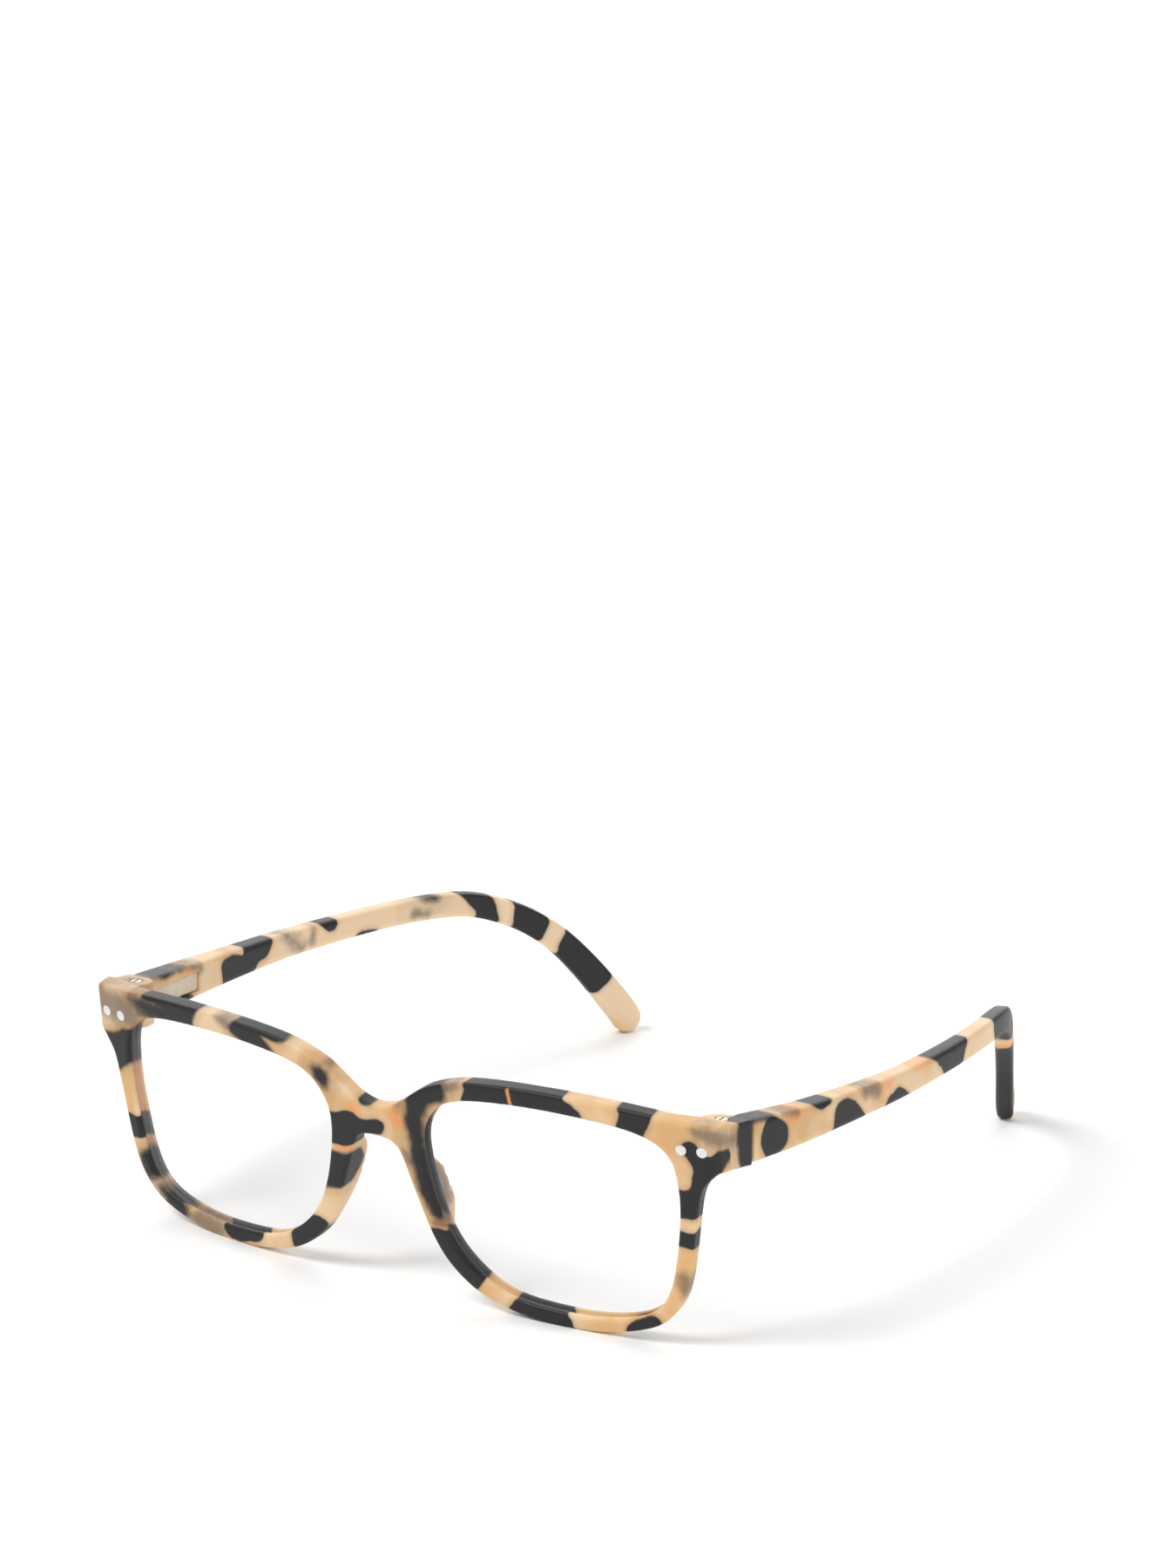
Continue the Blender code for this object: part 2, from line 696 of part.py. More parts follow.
def make_nut(side, name):
    shifted = hinge_frame(side) @ Matrix.Translation((ROD_OFFSET, 0, 0))
    bm = tube(ROD_RADIUS + RUNNING_FIT, NUT_RADIUS, nut_start(), nut_start() + NUT_LENGTH, shifted, 12)
    add_object(f"spring_nut_{name}", bm, material("steel", 1.0, 0.3), origin=shifted.translation)


def make_spring(side, name):
    """Coil on the pull rod between the temple's shoulder and the nut."""
    frame = hinge_frame(side) @ Matrix.Translation((ROD_OFFSET, 0, 0))
    start = POCKET_START + 0.2 + SPRING_WIRE
    length = nut_start() - 0.2 - SPRING_WIRE - start
    steps = SPRING_TURNS * 12
    bm = bmesh.new()
    loops = []
    for i in range(steps + 1):
        a = 2 * math.pi * i / 12
        radial = Vector((math.cos(a), 0, math.sin(a)))
        centre = radial * SPRING_RADIUS + Vector((0, start + length * i / steps, 0))
        ring = []
        for k in range(5):
            b = 2 * math.pi * k / 5
            offset = math.cos(b) * radial + math.sin(b) * Vector((0, 1, 0))
            ring.append(bm.verts.new(frame @ (centre + SPRING_WIRE * offset)))
        loops.append(ring)
    for a, b in zip(loops, loops[1:]):
        bridge(bm, a, b)
    bm.faces.new(loops[0])
    bm.faces.new(loops[-1])
    add_object(f"flex_spring_{name}", bm, material("steel", 1.0, 0.3), origin=frame.translation)


def make_screw(side, name):
    """Slotted screw: its head in the upper ear, its end in the lower ear's insert."""
    frame = screw_frame(side)
    low = head_low()
    bm, loops = turned(
        [(-EAR_GAP / 2 - INSERT_LENGTH, SHAFT_RADIUS), (low, SHAFT_RADIUS), (low, HEAD_RADIUS),
         (low + HEAD_THICKNESS, HEAD_RADIUS)],
        upright(frame),
    )
    for a, b in zip(loops, loops[1:]):
        bridge(bm, a, b)
    bm.faces.new(loops[0])
    bm.faces.new(loops[-1])
    screw = add_object(f"hinge_screw_{name}", bm, material("steel", 1.0, 0.3), origin=frame.translation)
    top = low + HEAD_THICKNESS
    width, depth = DRIVER_SLOT
    outline = box_outline(-width / 2, width / 2, -2 * HEAD_RADIUS, 2 * HEAD_RADIUS)
    cut(screw, f"driver_slot_{name}", prism(outline, top - depth, top + 1, frame))


def make_insert(side, name):
    frame = upright(screw_frame(side))
    start = -EAR_GAP / 2 - 0.2 - INSERT_LENGTH
    bm = tube(SHAFT_RADIUS + RUNNING_FIT, INSERT_RADIUS, start, start + INSERT_LENGTH, frame)
    add_object(f"screw_insert_{name}", bm, material("brass", 1.0, 0.4))


def main():
    for obj in list(bpy.data.objects):
        bpy.data.objects.remove(obj, do_unlink=True)
    make_front()
    make_pins()
    for side, name in ((1, "left"), (-1, "right")):
        make_lens(side, f"lens_{name}")
        make_temple(side, name)
        make_cover(side, name)
        make_eye(side, name)
        make_nut(side, name)
        make_spring(side, name)
        make_screw(side, name)
        make_insert(side, name)


main()
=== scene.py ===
"""Reading glasses with spring-hinged folding temples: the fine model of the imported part.

The outlines are drawn in millimetres, with the bridge's front face at Y = 0 and the front's
own zero line at Z = 0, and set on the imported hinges. "Left" and "right" are the wearer's.
"""
import json
import math

import bmesh
import bpy
import numpy as np
from mathutils import Matrix, Vector

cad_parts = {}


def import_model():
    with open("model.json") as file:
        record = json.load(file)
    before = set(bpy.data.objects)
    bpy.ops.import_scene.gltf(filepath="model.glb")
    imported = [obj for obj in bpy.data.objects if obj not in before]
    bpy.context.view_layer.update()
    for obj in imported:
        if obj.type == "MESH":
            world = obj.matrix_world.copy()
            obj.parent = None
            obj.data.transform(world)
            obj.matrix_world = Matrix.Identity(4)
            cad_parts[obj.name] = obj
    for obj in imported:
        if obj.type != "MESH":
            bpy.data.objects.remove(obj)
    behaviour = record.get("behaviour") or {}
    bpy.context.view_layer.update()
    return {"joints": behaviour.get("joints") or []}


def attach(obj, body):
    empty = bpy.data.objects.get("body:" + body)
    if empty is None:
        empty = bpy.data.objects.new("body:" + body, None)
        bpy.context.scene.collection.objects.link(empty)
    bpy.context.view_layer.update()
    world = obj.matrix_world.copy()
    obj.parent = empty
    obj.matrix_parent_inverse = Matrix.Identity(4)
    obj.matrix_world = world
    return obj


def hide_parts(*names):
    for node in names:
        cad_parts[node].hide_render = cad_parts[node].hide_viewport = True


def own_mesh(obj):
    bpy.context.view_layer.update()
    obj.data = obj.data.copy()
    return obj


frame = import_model()
JOINTS = {joint["name"]: joint for joint in frame["joints"]}

bl_info = {
    "name": "Reading Glasses",
    "version": (1, 0, 0),
    "blender": (4, 5, 0),
    "location": "3D View > Sidebar > Glasses",
    "description": "Tortoise reading glasses with folding temples",
    "category": "Mesh",
}

MM = 0.001
SIDES = (("left", 1), ("right", -1))
SHARP = math.radians(40)  # edges that turn more than this stay sharp

# ---- drawn sizes, in millimetres ------------------------------------------------------
FRONT_WIDTH = 140.6
FACE_RADIUS = 331.0
FRONT_TILT = math.radians(6.35)
RIM_DEPTH = 3.6
END_PIECE_DEPTH = 4.6
GROOVE_FRONT = 1.15
GROOVE_WIDTH = 1.6
GROOVE_DEPTH = 1.0
LENS_FIT = 0.12
LENS_CROWN = 0.9
LENS_BACK_CROWN = 0.15
PAD_HEIGHT = 4.6
PAD_LEAN = 1.1
PIN_RADIUS = 1.05
PIN_LENGTH = 1.8
PIN_SPACING = 4.0
PIN_EDGE = 2.65
PIN_HEIGHT = 20.1
HINGE_INSET = 4.6
HINGE_SETBACK = 7.1
HINGE_MID = 20.1
SIDE_FLARE = 1.1
BARREL_RADIUS = 3.3
BUTT_GAP = 0.3
EAR_GAP = 3.2
EAR_TOP = 4.3
EAR_BOTTOM = 4.1
EYE_RADIUS = 2.2
EYE_THICKNESS = 2.6
EYE_ROOM = 0.4
SHAFT_RADIUS = 0.65
HEAD_RADIUS = 1.1
HEAD_THICKNESS = 0.8
HEAD_CLEARANCE = 0.15
SHAFT_CLEARANCE = 0.1
INSERT_RADIUS = 1.2
INSERT_LENGTH = 1.9
SLOT_END = 6.5
POCKET_START = 8.0
POCKET_END = 20.6
POCKET_HALF_HEIGHT = 1.9
POCKET_OUTER = 2.9
COVER_START = 4.8
COVER_THICKNESS = 0.7
COVER_OUTER = 0.1
COVER_FIT = 0.15
ROD_RADIUS = 0.5
ROD_OFFSET = 1.6
SPRING_RADIUS = 0.9
SPRING_WIRE = 0.15
SPRING_TURNS = 7
SPRING_GAP = 0.2  # between the coil and what it stands between
NUT_RADIUS = 1.1
NUT_LENGTH = 1.4
MOUTH = -6.0  # well outside a temple's inner face, where its cuts begin

# half of the front's outline, from the bridge's underside round the rim to its top
RIM_UNDER = [
    (0.0, 11.6), (3.0, 11.3), (5.2, 9.4), (7.3, 3.7), (9.0, -0.8), (11.2, -6.1), (14.1, -10.6),
    (18.7, -14.6), (24.0, -17.1), (32.0, -18.8), (40.1, -19.2), (46.5, -18.7), (53.0, -17.3),
    (58.0, -15.1), (61.6, -11.2), (63.4, -6.6), (64.6, -0.8), (65.7, 6.0), (66.8, 11.4), (68.3, 14.0),
]
END_PIECE_LOW = (FRONT_WIDTH / 2, 16.2)
END_PIECE_TOP = (FRONT_WIDTH / 2, 24.7)
RIM_OVER = [
    (68.0, 25.0), (62.0, 25.5), (55.0, 26.2), (46.0, 26.8), (36.0, 27.0), (26.0, 26.7), (18.5, 25.8),
    (12.5, 23.9), (8.4, 21.4), (4.4, 18.6), (0.0, 17.5),
]
OPENING = [
    (10.4, 11.5), (12.3, 18.0), (17.6, 21.8), (28.5, 23.3), (42.0, 23.3), (54.5, 21.9), (60.8, 18.4),
    (62.6, 11.0), (61.8, 0.8), (59.6, -8.6), (55.6, -13.4), (47.5, -15.7), (37.5, -16.1), (26.0, -14.6),
    (17.5, -8.9), (12.7, -0.5),
]
LENS_MIDDLE = Vector((36.6, 3.6))
# where the end piece takes over from the rim, along the front and up it
END_PIECE_ALONG = (60.0, 68.0)
END_PIECE_UP = (9.0, 15.0)
# where the nose pad rises from the rim, where it falls back to it, and how far out it reaches
PAD_FOOT = (-9.5, -1.5)
PAD_HEAD = (3.5, 10.6)
PAD_LIMIT = 15.5
# temple: distance back from its front end, outer face beyond its front end's, middle height,
# half height, thickness
TEMPLE_KNOTS = [
    (0.0, 0.0, 20.1, 4.05, 5.6),
    (10.1, 1.1, 19.4, 3.65, 5.4),
    (20.1, 1.7, 18.8, 3.30, 5.0),
    (34.1, 2.0, 18.1, 2.90, 4.5),
    (49.1, 1.8, 17.4, 2.60, 4.1),
    (68.1, -0.1, 16.5, 2.40, 3.8),
    (83.1, -2.7, 15.7, 2.40, 3.6),
    (97.1, -6.7, 14.1, 2.45, 3.5),
    (106.7, -11.6, 10.3, 2.55, 3.5),
    (114.7, -15.9, 4.3, 2.70, 3.5),
    (121.1, -19.5, -3.3, 2.90, 3.4),
    (126.7, -22.7, -11.6, 3.10, 3.4),
    (129.1, -23.9, -15.58, 3.00, 3.3),
]

# ---- patches in the plastic, in drawn millimetres ------------------------------------------
# A dark patch is (corners, softness) and goes right through the plastic. A cloud is (first end,
# second end, radius, softness), a rounded bar. Their edges fade over the softness.
# On the front a point is (s, z), on an end piece's side and on the temples (y, z).
CRISP, SOFT, BLURRED = 0.26, 0.55, 1.0
PATCH_DEPTH = 3.4
CORNER_STEPS = 4  # points per side of a dark patch, once its corners are rounded
BLOT_REACH = 3.0  # how far round a dark patch its edge is worked out
BAR_DEPTH_SHARE = 0.3  # how much of its depth counts in a point's distance from a cloud
CLEAR = 9.0  # the gap where nothing is near
THROUGH = (1.0, 1.0, 0.0)  # leaves a point's depth out
FRONT_DARK = [
    # right rim, from its end piece over the top to the bridge
    ([(-58, 29), (-42, 29), (-42.8, 25), (-43.8, 20), (-48.5, 20), (-50.5, 24.6), (-57, 25.4)], SOFT),
    ([(-61, 25), (-48, 26.5), (-47, 21), (-53, 21), (-59, 23)], 2.0),
    ([(-34, 25.5), (-30, 28.5), (-24.5, 25.5), (-22.5, 22), (-29, 22.5)], SOFT),
    ([(-31.5, 30), (-20, 30), (-19, 26.4), (-24, 25.4), (-28, 25.8)], SOFT),
    ([(-14, 22.5), (-11.5, 23.2), (-9.8, 20.5), (-11, 18.5), (-13, 20)], BLURRED),
    ([(-4.5, 22), (-1, 22), (-0.2, 19), (-1, 17.6), (-3.5, 18)], CRISP),
    # right rim, down from the bridge and round the bottom to the end piece
    ([(-12, 14), (-8, 14.6), (-5.5, 15.4), (-2.5, 14.6), (2, 14.8), (1.5, 12), (-2, 11.5), (-4, 9),
      (-12, 8)], CRISP),
    ([(-12, 6.2), (-8, 6.4), (-5, 7.2), (-4.5, 4), (-8, -0.5), (-14, -1)], SOFT),
    ([(-22, -13), (-17.5, -8.5), (-13, -9), (-17, -14.5), (-21, -18.5)], CRISP),
    ([(-39.5, -15.5), (-30.5, -15), (-30.5, -17.2), (-38, -18.6)], CRISP),
    ([(-57.5, -13.5), (-52, -13), (-49, -16.5), (-53, -19)], 1.5),
    ([(-62, -7.5), (-57, -7), (-56, -10.5), (-60.5, -12.5)], BLURRED),
    ([(-67, -0.8), (-59, -0.2), (-59, -4.2), (-66, -4.6)], CRISP),
    ([(-71, 15), (-66, 16.2), (-60, 18.5), (-60.5, 12.5), (-64, 9.5), (-68, 7.5)], SOFT),
    # left rim, from the bridge over the top to the end piece
    ([(7.2, 20.5), (11, 25.5), (16, 25.5), (16.5, 22), (12, 19), (11, 11), (12.5, 5), (15.2, -1.2),
      (12.5, -2.4), (9, 3), (7.6, 11)], BLURRED),
    ([(21.8, 29), (40, 29), (40.8, 26.5), (44.3, 24.6), (43, 22), (30, 21.5), (20.5, 21.5),
      (20.5, 25)], CRISP),
    ([(50.6, 29), (58.7, 29), (58.5, 25.8), (55.8, 20.5), (50.8, 20.5), (51.7, 25.5)], CRISP),
    # left rim, down from the end piece and round the bottom
    ([(63.9, 21.2), (65.4, 22.2), (67.2, 20.6), (69, 19.7), (70.6, 20.5), (71.8, 18.6), (70.4, 15.4),
      (69, 13), (69, 7.2), (61, 7.2), (61, 12.4), (64.6, 12.7), (65.6, 16.2), (64.4, 19)], CRISP),
    ([(61, 3.9), (67, 3.5), (66.5, 0.4), (61, 1.4)], CRISP),
    ([(50.5, -17), (53, -14.9), (56.6, -13.6), (57.5, -15.5), (52, -19)], CRISP),
    ([(28.8, -14.5), (37.4, -15), (39.2, -20), (27, -20)], CRISP),
    ([(10.5, -4.6), (15.5, -4.6), (18.5, -8), (22, -11.5), (19.5, -15.5), (14.5, -12), (12, -8.5)], CRISP),
]
# these go on through the whole depth of the nose pad
PAD_DARK = [([(-4, 12), (0, 10), (-0.4, 5), (-4, 7.5)], SOFT)]
PAD_HAZE = [((9.5, 9.5), (12.2, 0.5), 2.2, 1.2)]
FRONT_HAZE = [
    ((-69.5, 22.5), (-62.0, 21.0), 3.4, 2.6),
    ((-59.0, 23.8), (-51.0, 23.6), 1.8, 1.4),
    ((-36.0, 27.5), (-33.0, 26.0), 1.4, 1.6),
    ((-5.6, 2.6), (-4.8, -0.4), 1.5, 1.4),
    ((-46.5, -17.0), (-41.5, -17.4), 1.9, 1.2),
    ((-59.4, -6.0), (-59.0, -12.0), 1.0, 1.4),
    ((5.4, 19.4), (8.4, 23.4), 1.2, 1.6),
    ((16.4, 24.6), (18.8, 25.6), 1.2, 1.8),
    ((6.6, 9.6), (7.6, 8.0), 1.0, 1.2),
    ((14.0, -3.4), (12.0, -3.2), 0.8, 1.0),
    ((62.9, -5.4), (63.4, -8.6), 1.5, 1.4),
    ((66.6, 23.8), (70.4, 23.4), 1.3, 1.4),
]
FRONT_AMBER = [
    ((-61.5, 26.6), (-58.2, 26.8), 1.0, 1.6),
    ((-44.6, 26.6), (-43.2, 26.9), 0.8, 1.4),
    ((-4.9, 16.3), (-4.2, 15.6), 1.2, 1.4),
    ((5.0, 16.6), (5.6, 15.6), 1.3, 1.6),
    ((-9.0, 7.3), (-3.4, 7.8), 0.6, 0.6),
    ((-38.6, -18.6), (-36.8, -18.9), 0.8, 1.0),
    ((20.2, 26.8), (20.6, 25.4), 0.6, 1.0),
    ((12.4, -3.4), (14.6, -3.4), 0.6, 0.6),
    ((71.0, 21.8), (71.4, 20.8), 0.5, 0.9),
]
# slivers of clear amber that cut across the dark patches
FRONT_SLIVERS = [((29.7, 26.4), (30.2, 23.4), 0.3, 0.3)]
# painted glow: cream along the right rim's inner edge and wall, standing in for light that shines through the
# plastic
FRONT_GLOW = [((-62.4, 16.0), (-61.8, 0.8), 0.4, 0.5), ((-61.8, 0.8), (-59.4, -8.6), 0.4, 0.5)]
END_DARK = [([(11.6, 26), (17, 26), (17, 15), (12.4, 16.5), (11.2, 20)], 0.6)]
END_HAZE = [((4.8, 23.4), (9.8, 22.6), 1.6, 1.8)]
END_AMBER = [((13.6, 24.2), (14.4, 20.4), 0.3, 0.8)]
TEMPLE_DARK = {
    "left": [
        ([(13, 27), (20, 26), (23, 23.6), (14, 23.6)], SOFT),
        ([(17.8, 19), (18.6, 22.8), (21.5, 23.4), (24.5, 21), (24.8, 17.4), (21.5, 15.9),
          (18.8, 16.8)], CRISP),
        ([(31, 26), (39.5, 26), (39, 22.2), (36, 20.8), (33.2, 22)], CRISP),
        ([(39.2, 19), (41.5, 20.8), (44.5, 20.3), (47.5, 17.8), (50, 13), (40, 13)], CRISP),
        ([(56.5, 16.4), (58.5, 17.6), (61, 17.5), (66, 14), (64, 12), (56.5, 12)], CRISP),
        ([(71.5, 22), (89, 22), (87.6, 16), (84, 12), (79.5, 13.8), (77, 17)], CRISP),
        ([(104, 20), (124, 16), (134, 10), (127, 5.4), (118, 8), (106, 11)], CRISP),
        ([(127, 0.5), (132.6, 3.2), (137.8, -2.6), (142.6, -10.4), (144.2, -15.5), (143, -20),
          (139, -17), (132, -7)], SOFT),
    ],
    "right": [
        ([(13.5, 27), (24, 26), (29.5, 23), (22, 22.8), (14, 24.4)], SOFT),
        ([(24, 13.5), (24.5, 17.4), (30, 16.8), (31, 13)], SOFT),
        ([(40.4, 20.2), (44, 20.8), (47, 20), (48.2, 22), (48.4, 26), (57.5, 26), (56.4, 18.4), (52, 16.8),
          (49, 12.5), (42.5, 12.5), (40.3, 17)], CRISP),
        ([(70.4, 22.6), (77.4, 23), (77, 18.8), (74.5, 17.4), (72.5, 18.6)], CRISP),
        ([(82.5, 14.9), (88, 14.4), (87, 11), (82, 11)], CRISP),
        ([(96, 22), (106.5, 20), (104, 17), (100, 17.8)], BLURRED),
        ([(107.4, 20), (115.2, 18), (116.8, 14), (117.2, 8.6), (113.4, 9.6), (112, 14)], CRISP),
        ([(121.4, 16), (127.6, 9.8), (125, 4), (120.6, 6), (120.2, 10)], CRISP),
        ([(132.4, 6.4), (140.8, -3.2), (135, -8.8), (128.4, -2.4)], CRISP),
    ],
}
TEMPLE_HAZE = {
    "left": [((49.4, 20.2), (53.2, 19.4), 1.5, 1.4), ((24.8, 23.2), (28.0, 22.6), 0.8, 1.2)],
    "right": [
        ((61.4, 20.0), (65.8, 16.4), 1.3, 2.0), ((98.0, 15.4), (101.0, 14.6), 0.9, 1.3),
        ((30.2, 22.6), (33.0, 21.4), 1.0, 1.6), ((70.0, 19.0), (69.0, 16.8), 0.8, 1.4),
    ],
}
TEMPLE_AMBER = {
    "left": [
        ((26.4, 22.2), (28.2, 22.2), 1.1, 1.3), ((17.4, 16.2), (18.6, 16.0), 0.7, 1.0),
        ((55.2, 19.0), (57.6, 19.2), 0.9, 1.6), ((67.4, 20.2), (72.4, 20.4), 1.0, 1.6),
        ((123.4, 0.6), (133.8, 6.6), 0.9, 0.5),
    ],
    "right": [((28.6, 22.4), (31.0, 21.4), 0.6, 2.4), ((69.6, 20.6), (69.4, 20.0), 0.4, 1.4)],
}
TEMPLE_PALE = {
    "left": [((100.0, 16.0), (112.0, 14.0), 3.0, 5.0), ((140.0, 1.0), (146.0, -14.0), 3.0, 3.0)],
    "right": [((62.0, 18.0), (113.0, 14.5), 3.5, 6.0), ((120.0, 12.0), (146.0, -14.0), 4.0, 4.0)],
}


# ---- properties --------------------------------------------------------------------------
def colour(name, description, default):
    return bpy.props.FloatVectorProperty(
        name=name, description=description, default=default, size=4, min=0.0, max=1.0, subtype="COLOR"
    )


def share(name, description, default):
    return bpy.props.FloatProperty(
        name=name, description=description, default=default, min=0.0, max=1.0, subtype="FACTOR"
    )


def length(name, description, default_mm, low_mm=0.0):
    return bpy.props.FloatProperty(
        name=name, description=description, default=default_mm * MM, min=low_mm * MM, precision=5,
        subtype="DISTANCE", unit="LENGTH",
    )


def bearing(name, description, degrees):
    return bpy.props.FloatProperty(
        name=name, description=description, default=math.radians(degrees), subtype="ANGLE", unit="ROTATION"
    )


def power(name, description, default):
    return bpy.props.FloatProperty(name=name, description=description, default=default, min=0.0)


class PlasticLook(bpy.types.PropertyGroup):
    honey: colour("Honey", "Main colour of the clear plastic", (0.69, 0.43, 0.19, 1.0))
    # cream is also painted as glow along the right rim's inner edge
    cream: colour("Cream", "Paler clouds in the clear plastic", (0.80, 0.63, 0.43, 1.0))
    charcoal: colour("Charcoal", "Colour of the dark patches", (0.010, 0.010, 0.011, 1.0))
    amber: colour("Amber", "Orange blush beside some patches", (0.82, 0.31, 0.09, 1.0))
    haze: colour("Haze", "Grey-brown clouds", (0.13, 0.10, 0.08, 1.0))
    roughness: share("Roughness", "Roughness of the matte surface", 0.46)
    depth: share("Translucency", "Share of the light that spreads inside the plastic", 0.55)
    wobble: length("Edge wobble", "How far the patches' edges wander", 0.4)


class MetalLook(bpy.types.PropertyGroup):
    silver: colour("Silver", "Colour of the trim pins", (0.86, 0.85, 0.82, 1.0))
    steel: colour("Steel", "Colour of the screws, eyes and springs", (0.56, 0.55, 0.54, 1.0))
    brass: colour("Brass", "Colour of the threaded inserts and nuts", (0.72, 0.53, 0.26, 1.0))
    insert: colour("Insert", "Colour of the plates over the spring hinges", (0.62, 0.53, 0.40, 1.0))


class LensLook(bpy.types.PropertyGroup):
    # a lens's tint shows only as a painted reflection, a pale veil over what lies behind it
    tint: colour("Tint", "Colour of the lenses", (0.90, 0.92, 0.93, 1.0))
    reflection_face_on: share("Seen face on", "How much of a lens shows when seen straight through", 0.03)
    reflection_edge_on: share("Seen edge on", "How much of a lens shows at a grazing angle", 0.6)


class ShapeDetail(bpy.types.PropertyGroup):
    grain: length("Surface step", "Size of the facets of the moulded pieces", 0.25, 0.1)
    edge_round: length("Edge round", "Radius of the rims' edges", 0.6)
    soften: bpy.props.IntProperty(
        name="Soften", description="Passes that round the moulded pieces' corners", default=5, min=0
    )


class StageLook(bpy.types.PropertyGroup):
    azimuth: bearing("Azimuth", "Camera's turn from the front towards the wearer's left", 35.02)
    elevation: bearing("Elevation", "Camera's tilt down", 16.74)
    focal: bpy.props.FloatProperty(
        name="Focal length", description="Lens of the camera, on a frame 24 mm high", default=92.43, min=1.0,
        subtype="DISTANCE_CAMERA",
    )
    place: bpy.props.FloatVectorProperty(
        name="Camera place", description="Where the camera stands", default=(0.6213, -0.8933, 0.4058),
        subtype="TRANSLATION", unit="LENGTH",
    )
    floor: colour("Floor", "Colour of the floor", (0.97, 0.97, 0.97, 1.0))
    sky: power("Sky", "Strength of the white surround", 0.38)
    key: power("Key light", "Strength of the soft light", 1.7)
    key_spread: bearing("Key spread", "How broad the soft light is", 24.0)
    sheen: power("Sheen light", "Strength of the light behind", 1.3)
    sheen_spread: bearing("Sheen spread", "How broad the lights behind and from the side are", 60.0)
    fill: power("Fill light", "Strength of the light from the wearer's left", 1.0)


# ---- curves ------------------------------------------------------------------------------
def smooth(points, steps, closed=False):
    """Catmull-Rom points through a list of tuples."""
    n = len(points)
    out = []
    for i in range(n if closed else n - 1):
        quad = [points[(i + k) % n] if closed else points[min(max(i + k, 0), n - 1)] for k in (-1, 0, 1, 2)]
        for j in range(steps):
            t = j / steps
            weights = (
                (-t + 2 * t * t - t ** 3) / 2,
                (2 - 5 * t * t + 3 * t ** 3) / 2,
                (t + 4 * t * t - 3 * t ** 3) / 2,
                (t ** 3 - t * t) / 2,
            )
            out.append(tuple(sum(w * p[k] for w, p in zip(weights, quad)) for k in range(len(points[0]))))
    if not closed:
        out.append(tuple(points[-1]))
    return out


def straight(start, end, steps):
    """Points from start up to, and without, end."""
    return [tuple(a + (b - a) * i / steps for a, b in zip(start, end)) for i in range(steps)]


def open_smooth(points, steps):
    """Smooth points that leave the middle plane at a right angle at both ends that lie on it."""
    first = [(-points[1][0], points[1][1])] if points[0][0] == 0 else [points[0]]
    last = [(-points[-2][0], points[-2][1])] if points[-1][0] == 0 else [points[-1]]
    run = smooth(first + list(points) + last, steps)
    return run[steps:len(run) - steps]


def ramp(value, low, high):
    t = min(max((value - low) / (high - low), 0.0), 1.0)
    return t * t * (3 - 2 * t)


def arc(radius, start, end, steps, centre=(0.0, 0.0)):
    angles = [math.radians(start + (end - start) * i / steps) for i in range(steps + 1)]
    return [(centre[0] + radius * math.cos(a), centre[1] + radius * math.sin(a)) for a in angles]


def opening_rays():
    """The lens opening as sorted angles and radii about the lens's middle."""
    rays = [Vector(p) - LENS_MIDDLE for p in smooth(OPENING, 12, closed=True)]
    rows = sorted((math.atan2(ray.y, ray.x), ray.length) for ray in rays)
    return np.array([a for a, r in rows]), np.array([r for a, r in rows])


OPENING_ANGLES, OPENING_RADII = opening_rays()


def opening_point(angle, outward=0.0):
    """A point of the lens opening and its normal, which points into the rim."""

    def at(a):
        r = float(np.interp(a, OPENING_ANGLES, OPENING_RADII, period=2 * math.pi))
        return LENS_MIDDLE + Vector((r * math.cos(a), r * math.sin(a)))

    along = at(angle + 0.02) - at(angle - 0.02)
    normal = Vector((along.y, -along.x)).normalized()
    return at(angle) + outward * normal, normal


# ---- placing ------------------------------------------------------------------------------
def curved(s, z, d):
    """Along the front, up it and behind its face, to drawn millimetres."""
    a = s / FACE_RADIUS
    x = (FACE_RADIUS - d) * math.sin(a)
    y = FACE_RADIUS - (FACE_RADIUS - d) * math.cos(a)
    c, t = math.cos(FRONT_TILT), math.sin(FRONT_TILT)
    return Vector((x, y * c - z * t, z * c + y * t))


END_FACE = curved(FRONT_WIDTH / 2, HINGE_MID, 0.0)
TEMPLE_OUTER = END_FACE.x + SIDE_FLARE
HINGE = Vector((TEMPLE_OUTER - HINGE_INSET, END_FACE.y + HINGE_SETBACK, HINGE_MID))
SHIFT = Vector(JOINTS["fold_left"]["pos_m"]) - HINGE * MM


def world(point):
    """Drawn millimetres to the part's metres."""
    return Vector(point) * MM + SHIFT


def upright(matrix):
    """The same frame turned so that its Y axis stands up."""
    return matrix @ Matrix.Rotation(math.radians(90), 4, "X")


def screw_frame(side):
    """From the screw's upright frame, in millimetres, to metres: X out, Y back, Z up."""
    origin = world((side * HINGE.x, HINGE.y, HINGE.z))
    return Matrix.Translation(origin) @ Matrix.Diagonal((side * MM, MM, MM, 1.0))


def hinge_frame(side):
    """From a temple's hinge frame, in millimetres, to metres: X out, Y back along it, Z up."""
    first, second = (Vector(k[:3]) for k in TEMPLE_KNOTS[:2])
    run = second.x - first.x
    back = Vector((side * (second.y - first.y) / run, 1.0, (second.z - first.z) / run)).normalized()
    out = back.cross(Vector((0, 0, 1))).normalized() * side
    up = (Vector((0, 0, 1)) - back.z * back).normalized()
    turn = Matrix((out, back, up)).transposed().to_4x4()
    return Matrix.Translation(screw_frame(side).translation) @ turn @ Matrix.Scale(MM, 4)


def rod_frame(side):
    """The hinge frame moved onto the pull rod."""
    return hinge_frame(side) @ Matrix.Translation((ROD_OFFSET, 0, 0))


